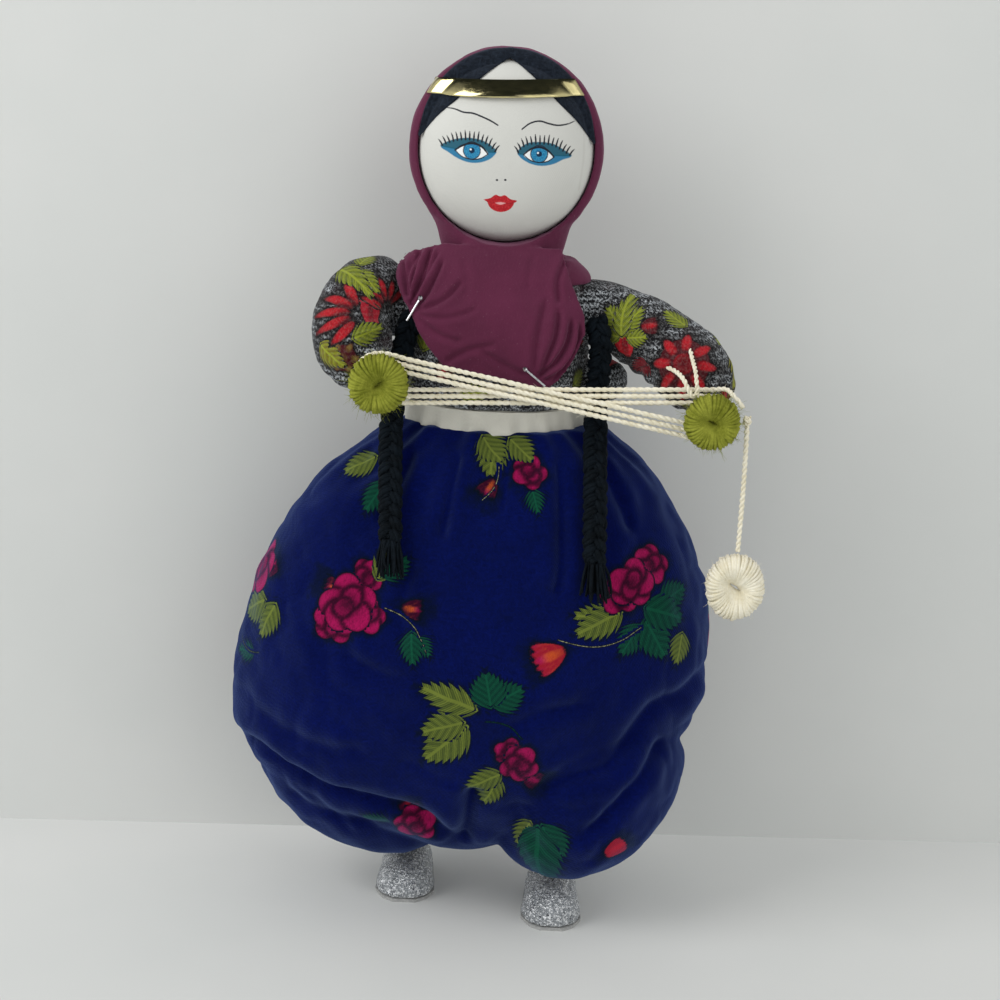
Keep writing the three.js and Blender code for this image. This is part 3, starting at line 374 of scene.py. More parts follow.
def cloth_group(name, size_name, usual_size, second_output):
    """An empty group that reads a place and a size, and puts out a height and one more mask."""
    tree = bpy.data.node_groups.new(name, "ShaderNodeTree")
    tree.interface.new_socket(name="Place", in_out="INPUT", socket_type="NodeSocketVector")
    size = tree.interface.new_socket(name=size_name, in_out="INPUT", socket_type="NodeSocketFloat")
    size.default_value = usual_size
    for output in ("Height", second_output):
        tree.interface.new_socket(name=output, in_out="OUTPUT", socket_type="NodeSocketFloat")
    n = Nodes(tree)
    return tree, n, n.add("NodeGroupInput").outputs, n.add("NodeGroupOutput").inputs


def weave_group():
    """Fine plain weave: threads over and under on whichever faces it meets, with slubs."""
    tree, n, inside, outside = cloth_group("plain weave", "Threads", 2000.0, "Slubs")
    split = n.add("ShaderNodeSeparateXYZ")
    n.put(split.inputs[0], inside["Place"])
    wander = n.noise(inside["Place"], 90.0, 2.0)
    x, y, z = [n.math("MULTIPLY_ADD", axis, inside["Threads"], n.times(wander, 4.0))
               for axis in split.outputs]
    warp = n.math("SINE", n.math("ADD", x, y))
    weft = n.math("SINE", z)
    n.put(outside["Height"], n.times(n.times(warp, weft), 0.5))
    n.put(outside["Slubs"], n.noise(n.stretched(inside["Place"], (300, 300, 60)), 6.0, 3.0))
    return tree


def fibre_group():
    """Short fibres and pills that lie over brushed cloth, felt and wool."""
    tree, n, inside, outside = cloth_group("fibres", "Size", 600.0, "Lint")
    swirl = n.noise(inside["Place"], n.times(inside["Size"], 0.12), 2.0)
    turned = n.add("ShaderNodeVectorMath", operation="ADD")
    n.put(turned.inputs[0], inside["Place"])
    spread = n.add("ShaderNodeCombineXYZ")
    for axis, amount in zip(spread.inputs, (0.006, -0.004, 0.005)):
        n.put(axis, n.times(swirl, amount))
    n.put(turned.inputs[1], spread.outputs[0])
    one = n.noise(n.stretched(turned.outputs[0], (1, 1, 0.25), (0.5, 0.3, 0)), inside["Size"], 4.0, 0.7)
    two = n.noise(n.stretched(turned.outputs[0], (0.25, 1, 1), (0, 0.4, 0.8)), inside["Size"], 4.0, 0.7)
    n.put(outside["Height"], n.math("MAXIMUM", one, two))
    n.put(outside["Lint"], n.ramp(n.noise(turned.outputs[0], n.times(inside["Size"], 2.2), 2.0),
                                  0.70, 0.76))
    return tree


WEAVE = weave_group()
FIBRES = fibre_group()


def material(name, roughness, sheen=0.0, sheen_tint=(1, 1, 1), metallic=0.0, *, specular):
    made = bpy.data.materials.new(name)
    made.use_nodes = True
    shader = made.node_tree.nodes["Principled BSDF"]
    shader.inputs["Roughness"].default_value = roughness
    shader.inputs["Metallic"].default_value = metallic
    shader.inputs["Specular IOR Level"].default_value = specular
    shader.inputs["Sheen Weight"].default_value = sheen
    shader.inputs["Sheen Roughness"].default_value = 0.5
    shader.inputs["Sheen Tint"].default_value = (*sheen_tint, 1)
    return made, Nodes(made.node_tree), shader


def join_to(shader, n, colour, roughness, height, strength, distance):
    """Gives a shader its colour, its roughness and a bump by the height map, over a distance in metres."""
    n.put(shader.inputs["Base Color"], colour)
    n.put(shader.inputs["Roughness"], roughness)
    node = n.add("ShaderNodeBump")
    node.inputs["Strength"].default_value = strength
    node.inputs["Distance"].default_value = distance
    n.put(node.inputs["Height"], height)
    n.put(shader.inputs["Normal"], node.outputs[0])


def srgb(red, green, blue):
    def linear(value):
        value /= 255
        return value / 12.92 if value <= 0.04045 else ((value + 0.055) / 1.055) ** 2.4
    return (linear(red), linear(green), linear(blue), 1.0)


def cloth_colour(n, base, variation, place, size):
    """The base colour, a little lighter and darker in patches."""
    patch = n.noise(place, size, 4.0)
    shift = n.add("ShaderNodeHueSaturation")
    n.put(shift.inputs["Color"], base)
    n.put(shift.inputs["Value"], n.ramp(patch, 0.25, 0.75, 1 - variation, 1 + variation))
    return shift.outputs[0]


def wool(name, dark, light, sheen):
    """Twisted wool: lighter and darker in soft patches, with fibres."""
    made, n, shader = material(name, 0.95, sheen, light[:3], specular=0.15)
    place = n.place()
    fibres = n.group(FIBRES, Place=place, Size=900.0)
    tone = n.math("MULTIPLY_ADD", n.noise(place, 160.0, 3.0), 0.6, n.times(fibres["Height"], 0.6))
    colour = n.mix(n.ramp(tone, 0.35, 0.85), dark, light)
    join_to(shader, n, colour, n.ramp(fibres["Height"], 0.3, 0.8, 1.0, 0.85), fibres["Height"], 0.5, 0.0003)
    return made


LIME_WOOL = wool("lime wool", srgb(98, 104, 22), srgb(156, 160, 62), 0.3)
CREAM_YARN = wool("cream yarn", srgb(222, 213, 184), srgb(246, 241, 224), 0.3)
BLACK_WOOL = wool("black wool", srgb(3, 7, 11), srgb(13, 22, 30), 0.08)
THREAD = wool("cream thread", srgb(190, 184, 168), srgb(225, 220, 208), 0.1)

# Camera

CAMERA_PLACE = (4.0, -871.33, 409.34)
CAMERA_TILT = math.radians(14.5)
CAMERA_ROLL = math.radians(2.6)


def set_camera():
    data = bpy.data.cameras.new("camera")
    data.lens = 73.636
    data.sensor_width = 36
    data.clip_start = 0.01
    camera = bpy.data.objects.new("camera", data)
    bpy.context.scene.collection.objects.link(camera)
    ahead = Vector((0, math.cos(CAMERA_TILT), -math.sin(CAMERA_TILT)))
    level = Vector((1, 0, 0))
    up = level.cross(ahead)
    right = level * math.cos(CAMERA_ROLL) + up * math.sin(CAMERA_ROLL)
    top = up * math.cos(CAMERA_ROLL) - level * math.sin(CAMERA_ROLL)
    turn = Matrix((right, top, -ahead)).transposed().to_4x4()
    camera.matrix_world = Matrix.Translation(Vector(in_frame(CAMERA_PLACE))) @ turn
    bpy.context.scene.camera = camera


set_camera()

# Hanging yarn and its wrapped disc

HITCH = np.array([103.15, -56.35, 236.5])
HITCH_RADIUS = 2.0
DROP_LENGTH = 53.0
YARN_RADIUS = 1.1
CLEARANCE = 0.35
DISC_HALF_HEIGHT = 14.4
DISC_WRAP_DEPTH = 0.5
DISC_MIDDLE = HITCH - np.array([
    0, 0, HITCH_RADIUS + 2 * CLEARANCE + DROP_LENGTH + DISC_HALF_HEIGHT + DISC_WRAP_DEPTH])


def wrapped_disc(middle, half_width, half_height, half_depth, seed, turn, wraps=46, slit=0.38):
    """Yarn wound through a small ring: each wrap runs from the slit over the front, the rim and the back."""
    rng = np.random.default_rng(seed)
    parts = []
    for layer in range(3):
        for wrap in range(wraps):
            angle = 2 * np.pi * (wrap + 0.33 * layer + rng.uniform(-0.25, 0.25)) / wraps
            reach = 1 - 0.05 * layer + rng.uniform(-0.03, 0.03)
            across = np.array([math.cos(angle), math.sin(angle)])
            roll = round_turn(18)
            out = slit * 0.25 + (1 - slit * 0.25) * (0.5 + 0.5 * np.cos(roll)) ** 0.8
            lift = np.sin(roll) * (1 - 0.09 * layer) * (0.9 + 0.1 * np.cos(roll))
            slit_way = np.array([math.cos(turn), math.sin(turn)])
            slit_push = slit_way * (across @ slit_way)
            start = slit * 0.5 * slit_push
            x = half_width * (start[0] * (1 - out) + across[0] * out * reach * 0.95)
            z = half_height * (start[1] * (1 - out) + across[1] * out * reach * 0.95)
            path = np.stack([middle[0] + x, middle[1] - half_depth * 0.86 * lift, middle[2] + z], 1)
            path = np.concatenate([path, path[:1]])
            parts.append(tube(path, 0.82 + rng.uniform(-0.06, 0.06), 5))
    return join(parts)


def stray_fibres(middle, half, count, length, seed):
    """Loose hairs that stand off a woolly piece."""
    rng = np.random.default_rng(seed)
    parts = []
    for _ in range(count):
        way = rng.normal(size=3)
        way /= np.linalg.norm(way)
        start = middle + way * half * rng.uniform(0.85, 1.0)
        bend = rng.normal(size=3) * 0.6
        t = np.linspace(0, 1, 5)[:, None]
        path = start + (way * t + bend * t ** 2) * length * rng.uniform(0.4, 1)
        parts.append(tube(path, np.linspace(0.09, 0.03, 5), 3))
    return join(parts)


def hanging_yarn():
    top = HITCH - np.array([0, 0, HITCH_RADIUS + CLEARANCE])
    heights = np.linspace(0, DROP_LENGTH, 24)
    sway = np.sin(heights / DROP_LENGTH * np.pi) * 0.35
    route = np.stack([top[0] + sway, top[1] + 0 * heights, top[2] - heights], 1)
    points, faces = plied_yarn(smooth_path(route, 150), YARN_RADIUS, 5.2, sides=8)
    yarn = finish_piece(new_piece("hanging_yarn_strand", points, faces, CREAM_YARN), "hanging_yarn",
                        "cream_yarn", "yarn_drop")
    wraps = wrapped_disc(DISC_MIDDLE, 12.3, 14.3, 6.9, 11, turn=-0.5)
    hairs = stray_fibres(DISC_MIDDLE, np.array([12, 6.5, 14]), 120, 3.0, 12)
    disc = new_piece("wrapped_yarn_disc", *join([wraps, hairs]), CREAM_YARN)
    finish_piece(disc, "hanging_yarn", "cream_yarn", "yarn_disc")


hanging_yarn()

# Printed cloth: motifs laid on the surface

ROSE = srgb(158, 16, 78)
DEEP_ROSE = srgb(52, 4, 28)
ORANGE = srgb(208, 92, 28)
LEAF = srgb(112, 124, 48)
DARK_LEAF = srgb(16, 78, 54)
LEAF_SHADE = srgb(24, 42, 22)
DARK_SHADE = srgb(5, 28, 26)
PALE_STEM = srgb(196, 192, 150)
RED = srgb(186, 26, 38)
BUD = srgb(150, 24, 40)
# Colours of a motif and of its shade
MOSS_GREEN = (LEAF, LEAF_SHADE)
FIR_GREEN = (DARK_LEAF, DARK_SHADE)
PINK = (ROSE, DEEP_ROSE)


def petal(u, v, turn, far, long, wide):
    """Edge distance to an oval petal that lies along a direction."""
    c, s = math.cos(turn), math.sin(turn)
    ahead, aside = u * c + v * s - far, v * c - u * s
    return (np.sqrt((ahead / long) ** 2 + (aside / wide) ** 2) - 1) * min(long, wide)


def bloom(u, v, petals, middle):
    """Petals laid over one another in turn: the outer edge, and how far it is to the petal in front."""
    edge, line = np.full(len(u), 9.0), np.full(len(u), 9.0)
    for turn, far, long, wide in petals:
        found = petal(u, v, turn, far, long, wide)
        fading = 0.7 + 2.4 * np.clip(np.hypot(u, v) / middle, 0, 1)
        line = np.where(found < 0, fading, np.minimum(line, found))
        line = np.where(found < 0, np.minimum(line, 0.35 - 1.6 * np.minimum(found, 0)), line)
        edge = np.minimum(edge, found)
    return edge, line


def leaf_motif(u, v, size, width, seed):
    """The outline of a pointed leaf along +u, before its teeth."""
    t = np.clip(u / size, 1e-4, 1 - 1e-4)
    half = width * 2.7 * t ** 0.6 * (1 - t) ** 0.85
    edge = np.maximum(np.abs(v) - half, np.maximum(-u, u - size))
    return edge, np.full(len(u), 9.0)


def rose_motif(u, v, size, width, seed):
    start = seed * 1.7
    petals = [(start + k * 1.257 + 0.2 * math.sin(seed + 2 * k), 0.5 * size, 0.56 * size, 0.52 * size)
              for k in range(5)]
    petals += [(start + 0.5, 0.22 * size, 0.42 * size, 0.34 * size),
               (start + 3.4, 0.2 * size, 0.34 * size, 0.3 * size)]
    return bloom(u, v, petals, size)


def bud_motif(u, v, size, width, seed):
    petals = [(turn, 0.52 * size, 0.5 * size, 0.42 * width) for turn in (-0.42, 0.42, -0.2, 0.2, 0.0)]
    return bloom(u, v, petals, size)


def star_motif(u, v, size, petals, seed):
    turns = [(2 * np.pi * k / petals, 0.66 * size, 0.36 * size, 1.45 * size / petals)
             for k in range(int(petals))]
    edge, line = bloom(u, v, turns + [(0, 0, 0.34 * size, 0.34 * size)], size)
    return np.minimum(edge, np.hypot(u, v) - 0.8 * size), np.where(edge < 0, line, 0.0)


def fan_motif(u, v, size, width, seed):
    petals = [(turn, 0.6 * size, 0.42 * size, 0.155 * size) for turn in (-1.05, -0.52, 0, 0.52, 1.05)]
    return bloom(u, v, petals, size)


def stem_motif(u, v, size, width, seed):
    return np.maximum(-u, u - size), np.full(len(u), 9.0)


MOTIFS = {"leaf": leaf_motif, "rose": rose_motif, "bud": bud_motif, "star": star_motif, "fan": fan_motif,
          "stem": stem_motif}
KINDS = {"leaf": 1.0, "rose": 2.0, "bud": 2.0, "star": 2.0, "fan": 2.0, "stem": 3.0}


def lay_prints(piece, motifs, facing=0.15, scale=1.0):
    """Each face takes the motif that reaches it, drawn in the plane that touches the cloth there."""
    mesh = piece.data
    points, normals = points_of(piece), normals_of(piece)
    corner = np.empty(len(mesh.loops), np.int32)
    mesh.loops.foreach_get("vertex_index", corner)
    sizes = np.empty(len(mesh.polygons), np.int32)
    mesh.polygons.foreach_get("loop_total", sizes)
    starts = np.concatenate([[0], np.cumsum(sizes)[:-1]])
    middles = np.add.reduceat(points[corner], starts) / sizes[:, None]
    ways = np.add.reduceat(normals[corner], starts) / sizes[:, None]
    face_of = np.repeat(np.arange(len(sizes)), sizes)
    best, owner = np.full(len(sizes), 3.5), np.full(len(sizes), -1)
    readers = []
    for k, (kind, place, turn, size, width, colour, dark) in enumerate(motifs):
        place = np.asarray(place, float)
        grown = width if kind in ("star", "stem") else width * scale
        size = size * scale
        nearest = np.argmin(((points - place) ** 2).sum(1))
        centre, out = points[nearest], normals[nearest]
        right = np.cross(out, (0, 0, 1.0)) if abs(out[2]) < 0.95 else np.array([1.0, 0, 0])
        right /= np.linalg.norm(right)
        if right[0] < 0 and abs(out[0]) < 0.9:
            right = -right
        up = np.cross(right, out)
        up = up if up[2] > 0 else -up
        c, s = math.cos(math.radians(turn)), math.sin(math.radians(turn))

        def read(at, kind=kind, centre=centre, right=right, up=up, c=c, s=s, size=size, grown=grown,
                 seed=k % 7):
            a, b = (at - centre) @ right, (at - centre) @ up
            u, v = a * c + b * s, -a * s + b * c
            if kind == "stem":
                v = v - 0.14 * size * np.sin(np.pi * np.clip(u / size, 0, 1))
            edge, line = MOTIFS[kind](u, v, size, grown, seed)
            across = 0 if kind != "stem" else np.abs(v) - 0.4
            return u, v, np.maximum(edge, across), edge, line

        readers.append((read, KINDS[kind], size, colour, dark))
        reached = np.linalg.norm(middles - centre, axis=1) < 1.7 * max(size, 4 + grown)
        near = np.flatnonzero(reached & (ways @ out > facing))
        found = read(middles[near])[2]
        reach = -0.1 if kind != "stem" else 0.95
        wins = (found < best[near]) | (found < reach)
        best[near[wins]] = found[wins]
        owner[near[wins]] = k
    at = points[corner]
    edge, line = np.full(len(at), 9.0), np.full(len(at), 9.0)
    where = np.zeros((len(at), 3))
    tint, shade = np.tile(ROSE[:3], (len(at), 1)), np.tile(DEEP_ROSE[:3], (len(at), 1))
    owner_of = owner[face_of]
    for k, (read, kind, size, colour, dark) in enumerate(readers):
        mine = np.flatnonzero(owner_of == k)
        if len(mine) == 0:
            continue
        u, v, _, found, lines = read(at[mine])
        edge[mine], line[mine] = found, lines
        shrink = size if kind == 1.0 else 1.0
        where[mine] = np.stack([u / shrink, v / shrink, np.full(len(mine), kind)], 1)
        tip = smoothstep(u / size, 0.45, 0.8)[:, None] * (colour == ORANGE)
        tint[mine] = np.array(colour[:3]) * (1 - tip) + np.array(ROSE[:3]) * tip
        shade[mine] = dark[:3]
    set_values(piece, "print_edge", np.clip(edge, -9, 9), "CORNER")
    set_values(piece, "print_line", np.clip(line, 0, 9), "CORNER")
    set_values(piece, "print_place", where, "CORNER")
    set_values(piece, "print_tint", tint, "CORNER")
    set_values(piece, "print_shade", shade, "CORNER")


def printed_colour(n, ground, place, dark, halo=0.75):
    """The ground cloth under its printed motifs: toothed and hatched leaves, shaded petals, thin stems."""
    ragged = n.math("SUBTRACT", n.noise(place, 1300.0, 2.0), 0.5)
    split = n.add("ShaderNodeSeparateXYZ")
    n.put(split.inputs[0], n.colour_of("print_place"))
    u, v, kind = split.outputs
    leaf = n.math("COMPARE", kind, 1.0, 0.4)
    stem = n.math("COMPARE", kind, 3.0, 0.4)
    beside = n.math("ABSOLUTE", v)
    phase = n.times(n.math("MULTIPLY_ADD", beside, -0.9, u), 5.5)
    tooth = n.math("FRACT", phase)
    teeth = n.times(n.math("MULTIPLY_ADD", tooth, -2.6, 1.1), leaf)
    plain = n.math("ADD", n.value_of("print_edge"), teeth)
    thin = n.math("MAXIMUM", n.value_of("print_edge"), n.math("SUBTRACT", beside, 0.5))
    edge = n.math("ADD", n.times(plain, n.math("SUBTRACT", 1.0, stem)),
                  n.times(thin, stem))
    edge = n.math("MULTIPLY_ADD", ragged, 0.7, edge)
    strokes = n.noise(n.stretched(place, (1, 1, 0.35), (0.0, 0.6, 0.0)), 1500.0, 3.0, 0.7)
    folds = n.ramp(n.math("MULTIPLY_ADD", ragged, 0.6, n.value_of("print_line")), 0.3, 2.7)
    petals = n.times(folds, n.ramp(strokes, 0.3, 0.6, 0.55, 1.0))
    hatch = n.math("SINE", n.math("MULTIPLY_ADD", phase, 25.0, n.times(strokes, 5.0)))
    fan = n.math("MULTIPLY_ADD", n.math("ABSOLUTE", n.math("SUBTRACT", tooth, 0.5)), -1.0, 0.95)
    blades = n.times(fan, n.ramp(hatch, -0.8, 0.9, 0.5, 1.0))
    rib = n.ramp(beside, 0.018, 0.05, 1.0, 0.0)
    blades = n.math("MAXIMUM", blades, n.times(rib, 0.9))
    lit = n.math("ADD", n.times(blades, leaf),
                 n.times(petals, n.math("SUBTRACT", 1.0, leaf)))
    inked = n.mix(lit, n.colour_of("print_shade"), n.colour_of("print_tint"))
    inked = n.mix(n.ramp(edge, -0.75, -0.25), inked, dark)
    beyond = n.math("MULTIPLY_ADD", n.noise(place, 210.0, 3.0), -5.0, edge)
    around = n.times(n.ramp(beyond, -2.6, 0.2, halo, 0.0), n.math("SUBTRACT", 1.0, stem))
    shaded = n.mix(around, ground, dark)
    return n.mix(n.ramp(edge, -0.12, 0.12), inked, shaded)


# Balloon trousers

# Each row: height, left edge, right edge, depth in front, depth behind
TROUSERS = np.array([
    [22.6, -6, 1, 8, 6], [26.5, -16, 5, 17, 10], [30, -24, 12, 28, 18], [38, -46, 28, 41, 27],
    [50, -76, 51, 51, 35], [64, -98, 73, 58, 40], [80, -110.5, 88, 62, 44], [100, -111.2, 97, 63, 46],
    [125, -107.5, 99.5, 60, 46], [150, -101, 95.5, 55, 44], [172, -90, 88, 49.5, 41],
    [192, -77, 78, 43.5, 37],
    [207, -60, 65, 38, 33], [216, -47, 53, 33.2, 29.6], [221, -40.5, 46, 31, 28.6]])
# Each leg: its middle, its half sizes and where it meets the ankle
LEFT_BALLOON = ((-52, 2, 67), (49.5, 45.5, 42.5), (-38, -12))
RIGHT_BALLOON = ((44, -14, 69), (46.5, 45.5, 42.5), (38, -31))
LEFT_ANKLE = np.array([-31.5, 11.0])
RIGHT_ANKLE = np.array([35.0, -11.0])
CUFF_BOTTOM = 21.8

# Folds of the trousers, as seen from the front: places x, z along each, its width and its depth
FRONT_FOLDS = [
    ([(-112, 76), (-96, 76), (-86, 71.5), (-66, 64), (-42, 61), (-20, 53), (-11, 43), (-6, 30)], 8.0, 4.4),
    ([(101, 121), (89, 111), (74, 107), (65, 95), (56, 84), (41, 79), (24, 70)], 8.5, 3.2),
    ([(-1, 74), (-3, 60), (-4, 48), (-4.5, 37)], 8.5, 5.5),
    ([(-100, 96), (-84, 90), (-64, 86), (-46, 88)], 8.0, 1.4),
    ([(-86, 58), (-70, 50), (-52, 47), (-34, 50)], 7.0, 1.5),
    ([(80, 92), (68, 76), (56, 62), (44, 50)], 6.0, 3.0),
    ([(14, 66), (22, 52), (30, 40)], 7.0, 1.2),
    ([(-78, 70), (-66, 52), (-52, 36)], 6.0, 1.2),
    ([(56, 62), (54, 48), (49, 36)], 7.0, 1.4),
    ([(-14, 214), (-17, 196), (-20, 176)], 5.0, 2.6),
    ([(28, 214), (30, 192), (31, 170), (29, 152)], 6.0, 3.0),
    ([(-33, 214), (-40, 196), (-48, 180)], 5.0, 2.0),
    ([(44, 212), (54, 196), (62, 180)], 5.0, 2.0),
    ([(6, 214), (6, 200), (4, 188)], 4.0, 1.8),
    ([(-60, 128), (-40, 120), (-22, 122)], 7.0, 1.8),
    ([(10, 100), (28, 108), (50, 112)], 7.0, 1.8),
    ([(-30, 170), (-36, 150), (-34, 132)], 7.0, 1.6),
]
BACK_FOLDS = [
    ([(-104, 84), (-80, 74), (-52, 66), (-24, 60), (-6, 44), (-2, 28)], 7.0, 4.5),
    ([(94, 100), (74, 88), (50, 78), (24, 66), (6, 46)], 7.0, 4.0),
    ([(-40, 212), (-50, 190), (-58, 168)], 6.0, 2.4),
    ([(40, 212), (50, 190), (58, 168)], 6.0, 2.4),
    ([(0, 214), (-4, 186), (-2, 160)], 7.0, 2.2),
    ([(-20, 214), (-24, 196), (-26, 180)], 5.0, 2.2),
    ([(20, 214), (24, 196), (26, 180)], 5.0, 2.2),
    ([(-70, 130), (-40, 118), (-10, 124)], 8.0, 2.0),
    ([(70, 140), (44, 126), (16, 122)], 8.0, 2.0),
]


def hanging_middle():
    """The gathered cloth between waist and crotch, pleated below the waist thread."""
    heights = np.concatenate([np.linspace(22.6, 210, 90), np.linspace(211, 221, 10)])
    turn = round_turn(160)
    rings = []
    for height in heights:
        left, right, front, back = [between(TROUSERS[:, 0], TROUSERS[:, k], height) for k in range(1, 5)]
        gather = 3.0 * max(0, 1 - (218 - height) / 40) ** 1.3
        pleat = (0.5 - 0.5 * np.cos(11 * turn + 0.8 * np.sin(3 * turn))) + 0.4 * np.cos(23 * turn)
        power = 2 / 2.25
        bulge_x = np.sign(np.cos(turn)) * np.abs(np.cos(turn)) ** power
        bulge_y = np.sign(np.sin(turn)) * np.abs(np.sin(turn)) ** power
        depth = np.where(np.sin(turn) < 0, front, back)
        x = (left + right) / 2 + ((right - left) / 2 - gather * pleat) * bulge_x
        y = (depth - gather * pleat) * bulge_y
        rings.append(level_ring(x, y, height))
    return closed_rings(rings)


def leg_balloon(middle, size, foot, seed):
    """One full leg that drops and draws in to its ankle."""
    polar = np.linspace(0.03, 0.97, 60) * np.pi
    turn = round_turn(110)
    rings = []
    for p in polar:
        low = max(0, math.cos(p))
        fold = 1 - (1.5 / size[0]) * low * (1 + np.cos(9 * turn + seed))
        fold = fold - 0.015 * low * np.cos(4 * turn + seed)
        x = middle[0] + (foot[0] - middle[0]) * low ** 2 + size[0] * math.sin(p) * np.cos(turn) * fold
        y = middle[1] + (foot[1] - middle[1]) * low ** 2 + size[1] * math.sin(p) * np.sin(turn) * fold
        z = middle[2] - ((middle[2] - 22.4) if low > 0 else size[2]) * math.cos(p) + 0 * turn
        rings.append(np.stack([x, y, z], 1))
    return closed_rings(rings)


def cuff_form(ankle, seed):
    """The hem, gathered round the ankle with a small frill below its thread."""
    heights = np.linspace(CUFF_BOTTOM, 46, 22)
    turn = round_turn(90)
    rings = []
    for height in heights:
        drawn = between([21, 22.6, 26, 33, 46], [11.2, 10.6, 12.2, 14.5, 18], height)
        frill = (0.5 + 0.4 * smoothstep(height, 40, 24)) * np.cos(13 * turn + seed)
        radius = drawn + frill * smoothstep(height, 30, 23)
        rings.append(level_ring(ankle[0] + radius * np.cos(turn), ankle[1] + radius * np.sin(turn), height))
    return closed_rings(rings)


def press_folds(points, normals, folds, front):
    """Each fold is a valley with a soft ridge on its lower side."""
    moved = np.zeros(len(points))
    facing = smoothstep(-normals[:, 1] if front else normals[:, 1], 0.0, 0.35)
    seen = points[:, [0, 2]]
    for line, width, depth in folds:
        path = seen_path(line, 40)
        distance, along, side = to_line(seen, path)
        ends = smoothstep(along, 0.0, 0.12) * smoothstep(1 - along, 0.0, 0.15)
        signed = distance * side
        valley = np.exp(-(signed / (0.42 * width)) ** 2)
        ridge = np.exp(-((distance - 1.05 * width) / (0.6 * width)) ** 2)
        moved += facing * ends * depth * (-valley + 0.3 * ridge)
    return moved


def flannel():
    made, n, shader = material("printed blue flannel", 0.95, 0.27, (0.34, 0.5, 0.98), specular=0.02)
    place = n.place()
    fibres = n.group(FIBRES, Place=place, Size=1100.0)
    weave = n.group(WEAVE, Place=place, Threads=3600.0)
    deep, bright = srgb(1, 5, 50), srgb(4, 16, 86)
    ground = n.mix(n.ramp(fibres["Height"], 0.25, 0.95), deep, bright)
    ground = cloth_colour(n, ground, 0.16, place, 26.0)
    worn = n.ramp(n.noise(place, 34.0, 5.0, 0.7), 0.62, 0.8)
    ground = n.mix(n.times(worn, 0.25), ground, srgb(20, 32, 92))
    colour = printed_colour(n, ground, place, srgb(4, 10, 24))
    colour = n.mix(n.times(fibres["Lint"], 0.2), colour, srgb(50, 62, 120))
    height = n.math("MULTIPLY_ADD", weave["Height"], 0.35, fibres["Height"])
    join_to(shader, n, colour, n.ramp(fibres["Height"], 0.3, 0.8, 1.0, 0.88), height, 0.55, 0.0004)
    return made


